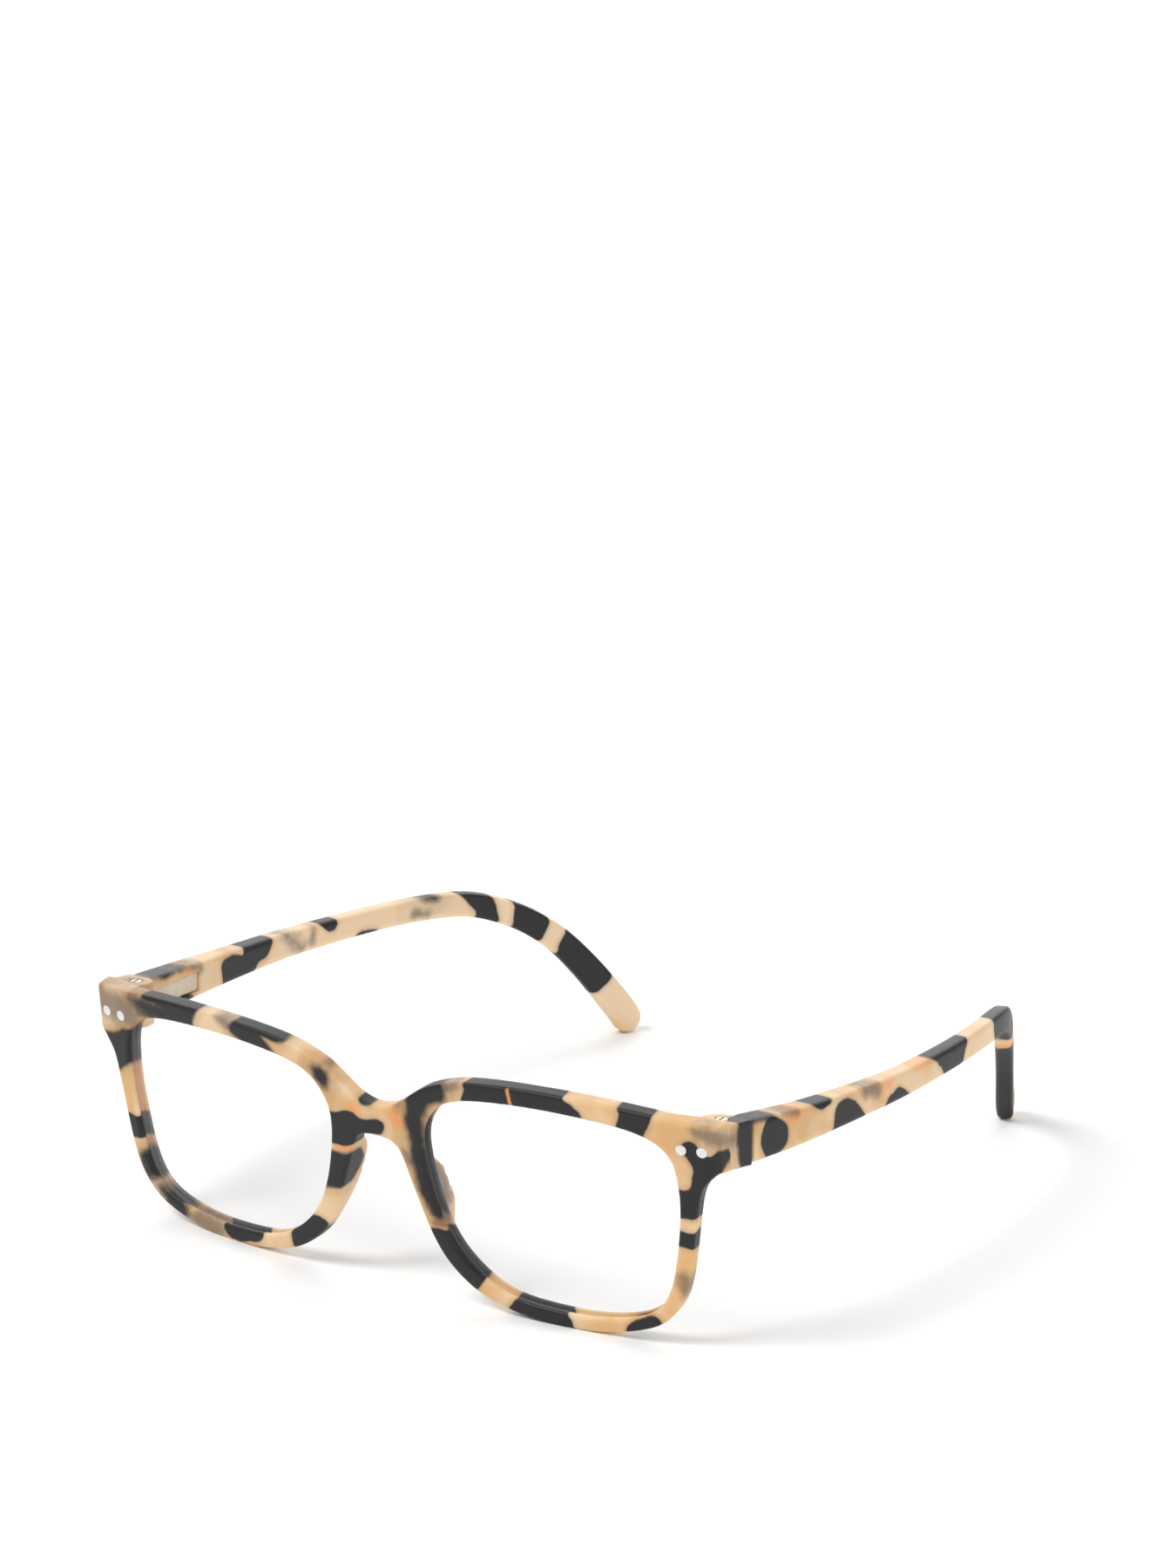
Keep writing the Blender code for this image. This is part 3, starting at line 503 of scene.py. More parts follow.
def pin_frame(side, s):
    """Frame on the front face whose Y axis runs into the end piece."""
    face = curved(side * s, PIN_HEIGHT, 0.0)
    back = (curved(side * s, PIN_HEIGHT, 1.0) - face).normalized()
    out = back.cross(Vector((0, 0, 1))).normalized()
    turn = Matrix((out, back, out.cross(back))).transposed().to_4x4()
    return Matrix.Translation(world(face)) @ turn @ Matrix.Scale(MM, 4)


# ---- meshes --------------------------------------------------------------------------------
def join_loops(bm, a, b):
    n = len(a)
    for i in range(n):
        j = (i + 1) % n
        bm.faces.new((a[i], a[j], b[j], b[i]))


def prism(outline, low, high, matrix):
    """Closed prism on an outline of (x, y); low and high are heights or functions of (x, y)."""
    bm = bmesh.new()
    loops = []
    for level in (low, high):
        heights = [level(x, y) if callable(level) else level for x, y in outline]
        loops.append([bm.verts.new(matrix @ Vector((x, y, h))) for (x, y), h in zip(outline, heights)])
    bm.faces.new(loops[0])
    bm.faces.new(loops[1])
    join_loops(bm, *loops)
    return bm


def turned(profile, matrix, sides=48, closed=False):
    """A profile of (along, radius) turned about the frame's Y axis, as a ring or with flat ends."""
    bm = bmesh.new()
    loops = []
    for along, radius in profile:
        circle = arc(radius, 0, 360, sides)[:-1]
        loops.append([bm.verts.new(matrix @ Vector((x, along, z))) for x, z in circle])
    for a, b in zip(loops, loops[1:] + loops[:1] if closed else loops[1:]):
        join_loops(bm, a, b)
    if not closed:
        bm.faces.new(loops[0])
        bm.faces.new(loops[-1])
    return bm


def box_outline(x0, x1, y0, y1):
    return [(x0, y0), (x1, y0), (x1, y1), (x0, y1)]


def rounded_box(x0, x1, y0, y1, radius, steps):
    corners = ((x1, y1, 0), (x0, y1, 90), (x0, y0, 180), (x1, y0, 270))
    points = []
    for x, y, start in corners:
        centre = (x - math.copysign(radius, x - (x0 + x1) / 2), y - math.copysign(radius, y - (y0 + y1) / 2))
        points += arc(radius, start, start + 90, steps, centre)
    return points


def new_object(name, bm, mat=None):
    bmesh.ops.remove_doubles(bm, verts=bm.verts, dist=1e-7)
    bmesh.ops.recalc_face_normals(bm, faces=bm.faces)
    mesh = bpy.data.meshes.new(name)
    bm.to_mesh(mesh)
    bm.free()
    obj = bpy.data.objects.new(name, mesh)
    bpy.context.scene.collection.objects.link(obj)
    mesh.shade_smooth()
    mesh.set_sharp_from_angle(angle=SHARP)
    if mat:
        mesh.materials.append(mat)
    return obj


def shape(target, bm, operation="DIFFERENCE"):
    """Cut a bmesh from the target, or join it on."""
    tool = new_object("tool", bm)
    mod = target.modifiers.new(operation.title(), "BOOLEAN")
    mod.operation = operation
    mod.solver = "EXACT"
    mod.object = tool
    settle(target)
    bpy.data.meshes.remove(tool.data)


def settle(obj):
    """Apply the object's modifiers to its mesh."""
    bpy.context.view_layer.update()
    done = bpy.data.meshes.new_from_object(obj.evaluated_get(bpy.context.evaluated_depsgraph_get()))
    old = obj.data
    obj.modifiers.clear()
    obj.data = done
    done.name = old.name
    bpy.data.meshes.remove(old)


def mould(obj, detail):
    """Turn the built-up solid into one even skin with softened corners."""
    skin = obj.modifiers.new("Skin", "REMESH")
    skin.mode = "VOXEL"
    skin.voxel_size = detail.grain
    soft = obj.modifiers.new("Soft", "SMOOTH")
    soft.factor = 0.5
    soft.iterations = detail.soften
    settle(obj)
    obj.data.shade_smooth()


def bevelled(obj, width_mm, segments=2):
    mod = obj.modifiers.new("Edges", "BEVEL")
    mod.width = width_mm * MM
    mod.segments = segments
    mod.limit_method = "ANGLE"
    mod.angle_limit = SHARP
    settle(obj)
    obj.data.shade_smooth()
    obj.data.set_sharp_from_angle(angle=math.radians(50))


def finish_piece(obj, body, node):
    """Tie a piece to its body and hide the node that it stands for."""
    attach(obj, body)
    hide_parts(node)


# ---- patches --------------------------------------------------------------------------------
def unevenness(points):
    """A smooth wave of about 1 that makes the edges of patches and clouds wander."""
    a, b, depth = points.T
    slow = np.sin(0.9 * a + 0.6 * depth + 1.4 * np.sin(0.7 * b))
    slow = slow + np.sin(1.1 * b - 0.5 * depth + 1.3 * np.sin(0.8 * a))
    fast = np.sin(2.3 * a - 1.9 * b + depth) + 0.6 * np.sin(3.7 * a + 4.3 * b - 1.6 * depth)
    return 0.34 * slow + 0.05 * fast


def bar_gap(points, bars, wobble):
    """Lowest distance past the bars' edges, in units of their softness, for points of (a, b, depth)."""
    lowest = np.full(len(points), CLEAR)
    uneven = wobble * unevenness(points)
    points = points * (1.0, 1.0, BAR_DEPTH_SHARE)
    for start, end, radius, softness in bars:
        a, b = np.array([*start, 0.0]), np.array([*end, 0.0])
        along = b - a
        t = np.clip((points - a) @ along / max(along @ along, 1e-6), 0.0, 1.0)
        away = np.linalg.norm(points - a - t[:, None] * along, axis=1)
        lowest = np.minimum(lowest, (away - radius + uneven) / softness)
    return lowest


def blot_gap(points, blots, wobble):
    """The same for patches with corners."""
    lowest = np.full(len(points), CLEAR)
    uneven = wobble * unevenness(points) + np.maximum(points[:, 2] - PATCH_DEPTH, 0.0)
    for corners, softness in blots:
        corners = np.array(smooth(corners, CORNER_STEPS, closed=True))
        low, high = corners.min(0) - BLOT_REACH, corners.max(0) + BLOT_REACH
        near = np.all((points[:, :2] > low) & (points[:, :2] < high), axis=1)
        flat = points[near, :2]
        gap = np.full(len(flat), BLOT_REACH)
        inside = np.zeros(len(flat), dtype=bool)
        for a, b in zip(corners, np.roll(corners, -1, axis=0)):
            along, away = b - a, flat - a
            t = np.clip(away @ along / (along @ along), 0.0, 1.0)
            gap = np.minimum(gap, np.linalg.norm(away - t[:, None] * along, axis=1))
            if a[1] != b[1]:
                level = (a[1] > flat[:, 1]) != (b[1] > flat[:, 1])
                inside ^= level & (flat[:, 0] < a[0] + (flat[:, 1] - a[1]) * along[0] / along[1])
        gap = np.where(inside, -gap, gap) + uneven[near]
        lowest[near] = np.minimum(lowest[near], gap / softness)
    return lowest


def drawn_points(obj):
    """The mesh's points in drawn millimetres."""
    places = np.empty(len(obj.data.vertices) * 3)
    obj.data.vertices.foreach_get("co", places)
    return (places.reshape(-1, 3) - np.array(SHIFT)) / MM


def unrolled(points):
    """Drawn points as (s, z, depth) on the front: along its curve, up its tilted face and behind it."""
    c, t = math.cos(FRONT_TILT), math.sin(FRONT_TILT)
    x, y, z = points.T
    back = FACE_RADIUS - (y * c + z * t)
    along = FACE_RADIUS * np.arctan2(x, back)
    return np.stack([along, z * c - y * t, FACE_RADIUS - np.hypot(x, back)], axis=1)


def paint(obj, layers):
    """Store each layer's lowest gap on the mesh: layers are {name: [gaps, ...]}."""
    for name, gaps in layers.items():
        made = obj.data.attributes.new(name, "FLOAT", "POINT")
        made.data.foreach_set("value", np.minimum.reduce(gaps).astype(np.float32))


# ---- shader graphs ----------------------------------------------------------------------------
class Signal:
    """A shader socket that takes part in sums."""

    def __init__(self, graph, socket):
        self.graph = graph
        self.socket = socket

    def maths(self, operation, a, b):
        return self.graph.add("ShaderNodeMath", {"operation": operation}, {0: a, 1: b})

    def __add__(self, other):
        return self.maths("ADD", self, other)

    def __sub__(self, other):
        return self.maths("SUBTRACT", self, other)

    def __rsub__(self, other):
        return self.maths("SUBTRACT", other, self)

    def __mul__(self, other):
        return self.maths("MULTIPLY", self, other)

    __radd__ = __add__
    __rmul__ = __mul__

    def between(self, low, high):
        """0 below low, 1 above high and smooth between them."""
        settings = {"interpolation_type": "SMOOTHSTEP", "clamp": True}
        return self.graph.add("ShaderNodeMapRange", settings, {0: self, 1: low, 2: high})


class Graph:
    """A material whose nodes are added by type, settings and socket values."""

    def __init__(self, name, **constants):
        self.material = bpy.data.materials.new(name)
        self.material.use_nodes = True
        self.tree = self.material.node_tree
        self.shader = self.tree.nodes["Principled BSDF"]
        for socket, value in constants.items():
            self.shader.inputs[socket.replace("_", " ")].default_value = value

    def add(self, kind, settings=None, values=None, output=0):
        node = self.tree.nodes.new(kind)
        for key, value in (settings or {}).items():
            setattr(node, key, value)
        for key, value in (values or {}).items():
            self.feed(node.inputs[key], value)
        return Signal(self, node.outputs[output])

    def feed(self, socket, value):
        if isinstance(value, Signal):
            self.tree.links.new(value.socket, socket)
        elif hasattr(socket.default_value, "__len__"):
            socket.default_value = tuple(value)[:len(socket.default_value)]
        else:
            socket.default_value = value

    def noise(self, scale, detail=2.0):
        """Noise about 0, over the piece's own metres."""
        place = self.add("ShaderNodeTexCoord", output="Object")
        return self.add("ShaderNodeTexNoise", None, {"Vector": place, "Scale": scale, "Detail": detail}) - 0.5

    def layer(self, name):
        return self.add("ShaderNodeAttribute", {"attribute_name": name}, output="Fac")

    def blend(self, factor, a, b):
        return self.add("ShaderNodeMix", {"data_type": "RGBA"}, {0: factor, 6: a, 7: b}, output=2)

    def bump(self, height, strength, distance):
        values = {"Strength": strength, "Distance": distance, "Height": height}
        return self.add("ShaderNodeBump", None, values)

    def show(self, **sockets):
        for name, value in sockets.items():
            self.feed(self.shader.inputs[name.replace("_", " ")], value)
        return self.material


def toned(tint, share_of_it):
    """A colour made darker or paler."""
    return tuple(min(1.0, share_of_it * c) for c in tint[:3]) + (1.0,)


def plastic(look):
    """Matte translucent plastic: honey with cream clouds, dark patches, haze and amber blushes, and a painted
    glow in cream along the right rim's inner edge.
    """
    if "tortoise" in bpy.data.materials:
        return bpy.data.materials["tortoise"]
    g = Graph(
        "tortoise", Subsurface_Weight=look.depth, Subsurface_Scale=MM, IOR=1.49, Specular_IOR_Level=0.4
    )
    g.shader.inputs["Subsurface Radius"].default_value = (3.4, 2.2, 1.2)
    fine = g.noise(700, 1.0) * 0.8
    sliver = 1 - g.layer("sliver").between(-1.0, 1.0)
    dark = (1 - (g.layer("patch") + fine).between(-1.0, 1.0)) * (1 - sliver)
    haze = (1 - (g.layer("haze") + fine).between(-0.9, 0.8)) * 0.72
    blush = (1 - (g.layer("blush") + fine).between(-0.9, 0.9)) * 0.72
    rim = (1 - (g.layer("patch") + fine).between(0.0, 5.0)) * 0.22
    cloud = g.noise(120, 2.0).between(-0.14, 0.18)
    # cream over the temples' paler clouds, and painted glow along the right rim's inner edge
    pale = (1 - g.layer("pale").between(-0.6, 1.0)) * 0.9
    base = g.blend(cloud * 0.7, look.honey, look.cream)
    base = g.blend(pale, base, look.cream)
    base = g.blend(rim, base, look.haze)
    base = g.blend(blush, base, look.amber)
    base = g.blend(sliver, base, look.amber)
    base = g.blend(haze, base, look.haze)
    base = g.blend(dark, base, look.charcoal)
    rough = g.noise(1400, 3.0) * 0.10 + look.roughness
    grain = g.bump(g.noise(9000, 2.0), 0.12, 0.00004)
    return g.show(Base_Color=base, Roughness=rough, Normal=grain)


def metal(name, tint, roughness):
    """Satin metal with a fine uneven finish."""
    if name in bpy.data.materials:
        return bpy.data.materials[name]
    g = Graph(name, Metallic=1.0)
    uneven = g.noise(4000, 3.0)
    tone = g.blend(uneven.between(-0.3, 0.3), tint, toned(tint, 0.8))
    return g.show(Base_Color=tone, Roughness=uneven * 0.16 + roughness, Normal=g.bump(uneven, 0.1, 0.00003))


def steel(look):
    return metal("hinge_steel", look.steel, 0.3)


def brass(look):
    return metal("hinge_brass", look.brass, 0.28)


def insert_plastic(look):
    """Matte greige plastic with a moulded grain."""
    if "greige_plastic" in bpy.data.materials:
        return bpy.data.materials["greige_plastic"]
    g = Graph("greige_plastic", Subsurface_Weight=0.1, Subsurface_Scale=MM)
    tone = g.blend(g.noise(500, 3.0).between(-0.2, 0.2), look.insert, toned(look.insert, 1.08))
    rough = g.noise(3000) * 0.1 + 0.5
    return g.show(Base_Color=tone, Roughness=rough, Normal=g.bump(g.noise(7000), 0.1, 0.00004))


def lens_glass(look):
    """Clear lens whose pale veil is a painted reflection of the white surround, faint face on and stronger at
    grazing angles.
    """
    if "clear_lens" in bpy.data.materials:
        return bpy.data.materials["clear_lens"]
    g = Graph("clear_lens", Roughness=0.03, IOR=1.5)
    edge_on = g.add("ShaderNodeLayerWeight", None, {"Blend": 0.35}, output="Facing")
    # uneven tone of the painted reflection
    uneven_reflection = g.noise(60, 2.0).between(-0.2, 0.25)
    tone = g.blend(uneven_reflection, look.tint, toned(look.tint, 0.96))
    # painted reflection: the pale tint shows faintly face on and more strongly towards grazing angles
    clear = edge_on * edge_on * look.reflection_edge_on + look.reflection_face_on
    g.material.surface_render_method = "BLENDED"
    return g.show(Base_Color=tone, Alpha=clear)


def floor_paint(look):
    g = Graph("floor_paint", Roughness=0.7)
    uneven = g.noise(3, 1.0).between(-0.4, 0.4)
    return g.show(Base_Color=g.blend(uneven, look.floor, toned(look.floor, 1.01)))


# ---- front ------------------------------------------------------------------------------------
def half_outline(steps):
    """Outer loop of half the front as (s, z, on_middle), from the bridge's top down its middle and round."""
    loop = [(s, z, True) for s, z in straight(RIM_OVER[-1], RIM_UNDER[0], 8)]
    loop += [(s, z, i == 0) for i, (s, z) in enumerate(open_smooth(RIM_UNDER, steps))]
    loop += [(s, z, False) for s, z in straight(END_PIECE_LOW, END_PIECE_TOP, 2 * steps)]
    loop += [(*END_PIECE_TOP, False)]
    loop += [(s, z, False) for s, z in open_smooth(RIM_OVER, steps)[:-1]]
    return loop


def outline_normals(loop):
    """Normals that point into the rim, at each point of the outer loop."""
    normals = []
    n = len(loop)
    for i, (s, z, middle) in enumerate(loop):
        before, here, after = Vector(loop[i - 1][:2]), Vector((s, z)), Vector(loop[(i + 1) % n][:2])
        a, b = (here - before).normalized(), (after - here).normalized()
        if middle and loop[i - 1][2] != loop[(i + 1) % n][2]:
            up = 1.0 if z < (RIM_UNDER[0][1] + RIM_OVER[-1][1]) / 2 else -1.0
            normals.append(Vector((0.0, up)))
            continue
        normal = Vector((-(a + b).y, (a + b).x)).normalized()
        normals.append(normal / max(normal.dot(Vector((-a.y, a.x))), 0.5))
    return normals


def end_piece_share(s, z):
    return ramp(s, *END_PIECE_ALONG) * ramp(z, *END_PIECE_UP)


def pad_share(s, z, on_top):
    """How fully the nose pad stands at a point of the outer loop."""
    if on_top or s > PAD_LIMIT:
        return 0.0
    return ramp(z, *PAD_FOOT) * (1 - ramp(z, *PAD_HEAD))


def front_section(outer, normal, on_top, middle, edge_round):
    """Points (s, z, d) round the rim's section, split into the face, the outer wall and the rest."""
    s, z = outer
    ray = Vector(outer) - LENS_MIDDLE
    inner, inward = opening_point(math.atan2(ray.y, ray.x))
    share = end_piece_share(s, z)
    pad = 0.0 if middle else pad_share(s, z, on_top)
    depth_out = RIM_DEPTH + (END_PIECE_DEPTH - RIM_DEPTH) * share
    r_in = edge_round
    side_share = share if s > FRONT_WIDTH / 2 - 0.01 else 0.0
    r_out = edge_round * (1 + 1.2 * side_share)

    def from_inner(e, d):
        p = inner + inward * e
        return (p.x, p.y, d)

    def from_outer(e, d):
        p = Vector(outer) + normal * e
        return (p.x + side_share * 0.32 * d, p.y, d)

    def across(t, d):
        p = (inner + inward * r_in).lerp(Vector(outer) + normal * r_out, t)
        return (p.x, p.y, d)

    turn = [math.radians(a) for a in (0, 22.5, 45, 67.5, 90)]
    face = [from_inner(0, GROOVE_FRONT)]
    face += [from_inner(r_in * (1 - math.cos(a)), r_in * (1 - math.sin(a))) for a in turn]
    face += [across(t, 0.0) for t in (0.25, 0.5, 0.75)]
    height, lean = PAD_HEIGHT * pad, PAD_LEAN * pad
    wall = []
    if middle:
        face += [(s, z, 0.0)]
        rear = [(s, z, depth_out)]
    else:
        face += [from_outer(r_out, 0)]
        wall = [from_outer(r_out * (1 - math.sin(a)), r_out * (1 - math.cos(a))) for a in turn[1:]]
        wall += [
            from_outer(0.15 * lean, (depth_out + 0.3 * height) / 2),
            from_outer(0.3 * lean, depth_out - r_in + 0.45 * height),
            from_outer(0.12 * r_in + 0.5 * lean, depth_out - 0.62 * r_in + 0.66 * height),
            from_outer(0.3 * r_in + 0.75 * lean, depth_out - 0.3 * r_in + 0.82 * height),
            from_outer(0.62 * r_in + 0.95 * lean, depth_out - 0.12 * r_in + 0.94 * height),
        ]
        rear = [from_outer(r_in + 1.2 * lean, depth_out + height)]
    width = (Vector(outer) - inner).length
    groove_back = GROOVE_FRONT + GROOVE_WIDTH
    rear += [
        across(0.8 - 0.06 * pad, (RIM_DEPTH + 5 * depth_out) / 6 + 0.97 * height),
        across(0.62 - 0.12 * pad, (RIM_DEPTH + 2 * depth_out) / 3 + 0.86 * height),
        across(0.40 - 0.06 * pad, (RIM_DEPTH * 2 + depth_out) / 3 + 0.45 * height),
        across(0.18, RIM_DEPTH + 0.10 * height),
        from_inner(min(r_in, 0.2 * width), RIM_DEPTH), from_inner(0.3 * r_in, RIM_DEPTH - 0.3 * r_in),
        from_inner(0, RIM_DEPTH - r_in), from_inner(0, groove_back),
        from_inner(GROOVE_DEPTH, groove_back - 0.2), from_inner(GROOVE_DEPTH, GROOVE_FRONT + 0.2),
    ]
    return face, wall, rear


def front_half(bm, side, edge_round):
    loop = half_outline(5)
    normals = outline_normals(loop)
    half_way = len(loop) // 2
    rings = []
    n = len(loop)
    for i, ((s, z, middle), normal) in enumerate(zip(loop, normals)):
        inside_middle = middle and loop[i - 1][2] and loop[(i + 1) % n][2]
        parts = front_section((s, z), normal, i > half_way or i == 0, inside_middle, edge_round)
        rings.append([[bm.verts.new(world(curved(side * a, b, d))) for a, b, d in part] for part in parts])
    for i in range(n):
        here, there = rings[i], rings[(i + 1) % n]
        if loop[i][2] and loop[(i + 1) % n][2]:
            chains = [(here[0], there[0]), (here[2] + here[0][:1], there[2] + there[0][:1])]
        else:
            closed = [face + wall + rear + face[:1] for face, wall, rear in (here, there)]
            chains = [tuple(closed)]
        for a, b in chains:
            for k in range(len(a) - 1):
                bm.faces.new((a[k], a[k + 1], b[k + 1], b[k]))


def hinge_block(side):
    """The end piece's return with its barrel."""
    rear = BARREL_RADIUS
    start = 1.5 - HINGE_SETBACK
    outline = [(HINGE_INSET - 0.9, start), (HINGE_INSET - 0.05, rear - 0.4), (HINGE_INSET - 0.45, rear)]
    outline += arc(rear, 90, 180, 12)
    outline += [(-rear, start + 1.0)]

    def low(x, y):
        return -EAR_BOTTOM + 0.08 * (rear - y)

    def top(x, y):
        return EAR_TOP + 0.12 * (rear - y)

    return prism(outline, low, top, screw_frame(side))


def eye_slot(side):
    """Room for the hinge eye between the ears, open to the back and to the inside."""
    reach = EYE_RADIUS + EYE_ROOM
    outline = [(reach, 5.0)] + arc(reach, 0, -90, 10) + [(-5.0, -reach), (-5.0, 5.0)]
    return prism(outline, -EAR_GAP / 2, EAR_GAP / 2, screw_frame(side))


def head_low():
    """Underside of the screw's head, above the middle of the hinge eye."""
    return EAR_TOP + 0.3 - HEAD_THICKNESS


def rod(radius, start, end, matrix, sides=48):
    return turned([(start, radius), (end, radius)], matrix, sides)


def make_front(detail, look):
    bm = bmesh.new()
    for _, side in SIDES:
        front_half(bm, side, detail.edge_round / MM)
    for v in bm.verts:
        v.co.z = max(v.co.z, 0.0)
    front = new_object("front_moulding", bm)
    for _, side in SIDES:
        shaft = upright(screw_frame(side))
        shape(front, hinge_block(side), "UNION")
        shape(front, eye_slot(side))
        shape(front, rod(HEAD_RADIUS + HEAD_CLEARANCE, head_low(), 8.0, shaft))
    mould(front, detail)
    front.data.materials.append(plastic(look))
    points = drawn_points(front)
    face = unrolled(points)
    end = np.stack([points[:, 1], points[:, 2], np.abs(points[:, 0] - END_FACE.x) * 2.0], axis=1)
    wobble = look.wobble / MM
    paint(front, {
        "patch": [
            blot_gap(face, FRONT_DARK, wobble), blot_gap(face * THROUGH, PAD_DARK, wobble),
            blot_gap(end, END_DARK, wobble),
        ],
        "haze": [
            bar_gap(face, FRONT_HAZE, wobble), bar_gap(face * THROUGH, PAD_HAZE, wobble),
            bar_gap(end, END_HAZE, wobble),
        ],
        "blush": [bar_gap(face, FRONT_AMBER, wobble), bar_gap(end, END_AMBER, wobble)],
        "sliver": [bar_gap(face, FRONT_SLIVERS, 0.0)],
        # painted glow along the right rim's inner edge and wall
        "pale": [bar_gap(face, FRONT_GLOW, 0.0)],
    })
    finish_piece(front, "front", "front_frame")


def make_pins(look):
    """Flush silver pins with a fine chamfer."""
    profile = [(PIN_LENGTH, 0.9 * PIN_RADIUS), (PIN_LENGTH - 0.1, PIN_RADIUS), (0.04, PIN_RADIUS)]
    profile += [(0.0, PIN_RADIUS - 0.03), (-0.03, PIN_RADIUS - 0.09)]
    profile += [(-0.045, PIN_RADIUS - 0.3), (-0.05, 0.3)]
    outer = FRONT_WIDTH / 2 - PIN_EDGE
    for name, side in SIDES:
        for place, s in (("inner", outer - PIN_SPACING), ("outer", outer)):
            silver = metal("trim_silver", look.silver, 0.3)
            pin = new_object(f"pin_{name}_{place}", turned(profile, pin_frame(side, s)), silver)
            finish_piece(pin, "front", f"trim_pin_{name}_{place}")


# ---- lenses -----------------------------------------------------------------------------------
def make_lens(side, name, look):
    """A reading lens whose edge lies in the groove and whose faces are crowned."""
    bm = bmesh.new()
    steps, rings = 144, 10
    front_edge = GROOVE_FRONT + LENS_FIT
    back_edge = GROOVE_FRONT + GROOVE_WIDTH - LENS_FIT
    edge = [opening_point(2 * math.pi * i / steps, GROOVE_DEPTH - LENS_FIT)[0] for i in range(steps)]
    layers = []
    for level, crown in ((front_edge, -LENS_CROWN), (back_edge, LENS_BACK_CROWN)):
        rows = []
        for k in range(1, rings + 1):
            t = k / rings
            depth = level + crown * (1 - t * t)
            flat = [LENS_MIDDLE.lerp(p, t) for p in edge]
            rows.append([bm.verts.new(world(curved(side * p.x, p.y, depth))) for p in flat])
        middle = bm.verts.new(world(curved(side * LENS_MIDDLE.x, LENS_MIDDLE.y, level + crown)))
        for i in range(steps):
            bm.faces.new((middle, rows[0][i], rows[0][(i + 1) % steps]))
        for a, b in zip(rows, rows[1:]):
            join_loops(bm, a, b)
        layers.append(rows)
    join_loops(bm, layers[0][-1], layers[1][-1])
    lens = new_object(f"reading_lens_{name}", bm, lens_glass(look))
    finish_piece(lens, "front", f"lens_{name}")


# ---- temples ----------------------------------------------------------------------------------
def temple_sections(side, steps):
    """Centre, outward, up, half thickness and half height of each section along a temple."""
    start = HINGE.y + BARREL_RADIUS + BUTT_GAP
    rows = [(start + y, TEMPLE_OUTER + x, z, h, t) for y, x, z, h, t in smooth(TEMPLE_KNOTS, steps)]
    points = [Vector((side * x, y, z)) for y, x, z, h, t in rows]
    out = []
    for i, (*_, h, t) in enumerate(rows):
        along = (points[min(i + 1, len(points) - 1)] - points[max(i - 1, 0)]).normalized()
        if i == 0:
            along = Vector((0, 1, 0))
        outward = along.cross(Vector((0, 0, 1))).normalized() * side
        up = (Vector((0, 0, 1)) - along.z * along).normalized()
        out.append((points[i] - outward * t / 2, outward, up, t / 2, h))
    centre, outward, up, half, h = out[-1]
    for degrees in (15, 30, 45, 60, 75, 86):  # the rounded tip
        a = math.radians(degrees)
        shrink = math.cos(a)
        reach = centre + along * h * math.sin(a)
        out.append((reach, outward, up, half * (0.6 + 0.4 * shrink), h * shrink))
    return out


def temple_section_points(centre, outward, up, half, h):
    r = min(1.1, 0.55 * half, 0.5 * h)
    points = []
    for x, z in rounded_box(-half, half, -h, h, r, 4):
        points.append(centre + outward * x + up * z)
    return points


def make_temple(side, name, detail, look):
    bm = bmesh.new()
    loops = []
    for section in temple_sections(side, 6):
        loops.append([bm.verts.new(world(p)) for p in temple_section_points(*section)])
    for a, b in zip(loops, loops[1:]):
        join_loops(bm, a, b)
    bm.faces.new(loops[0])
    bm.faces.new(loops[-1])
    temple = new_object(f"temple_moulding_{name}", bm)
    frame_matrix = hinge_frame(side)
    tall = POCKET_HALF_HEIGHT
    recess = box_outline(MOUTH, COVER_OUTER + 0.3, COVER_START - 0.3, POCKET_END)
    slot = box_outline(MOUTH, POCKET_OUTER, 0.0, SLOT_END)
    chamber = box_outline(MOUTH, POCKET_OUTER, POCKET_START, POCKET_END)
    for outline, height in ((recess, tall + 0.02), (slot, tall), (chamber, tall)):
        shape(temple, prism(outline, -height, height, frame_matrix))
    shape(temple, rod(ROD_RADIUS + 0.2, SLOT_END - 0.5, POCKET_START + 0.5, rod_frame(side), 24))
    mould(temple, detail)
    temple.data.materials.append(plastic(look))
    points = drawn_points(temple)[:, [1, 2, 0]] * THROUGH
    wobble = look.wobble / MM
    paint(temple, {
        "patch": [blot_gap(points, TEMPLE_DARK[name], wobble)],
        "haze": [bar_gap(points, TEMPLE_HAZE[name], wobble)],
        "blush": [bar_gap(points, TEMPLE_AMBER[name], wobble)],
        "sliver": [bar_gap(points, [], 0.0)],
        "pale": [bar_gap(points, TEMPLE_PALE[name], wobble)],
    })
    finish_piece(temple, f"arm_{name}", f"temple_{name}")


# ---- spring hinges ------------------------------------------------------------------------------
def make_cover(side, name, look):
    frame_matrix = hinge_frame(side)
    tall = POCKET_HALF_HEIGHT - COVER_FIT
    outline = box_outline(COVER_OUTER - COVER_THICKNESS, COVER_OUTER, COVER_START, POCKET_END - COVER_FIT)
    plate = prism(outline, -tall, tall, frame_matrix)
    cover = new_object(f"insert_plate_{name}", plate, insert_plastic(look))
    bevelled(cover, 0.15)
    finish_piece(cover, f"arm_{name}", f"hinge_cover_{name}")


def rod_end():
    return POCKET_END - 1.2


def nut_start():
    return rod_end() - 0.3 - NUT_LENGTH


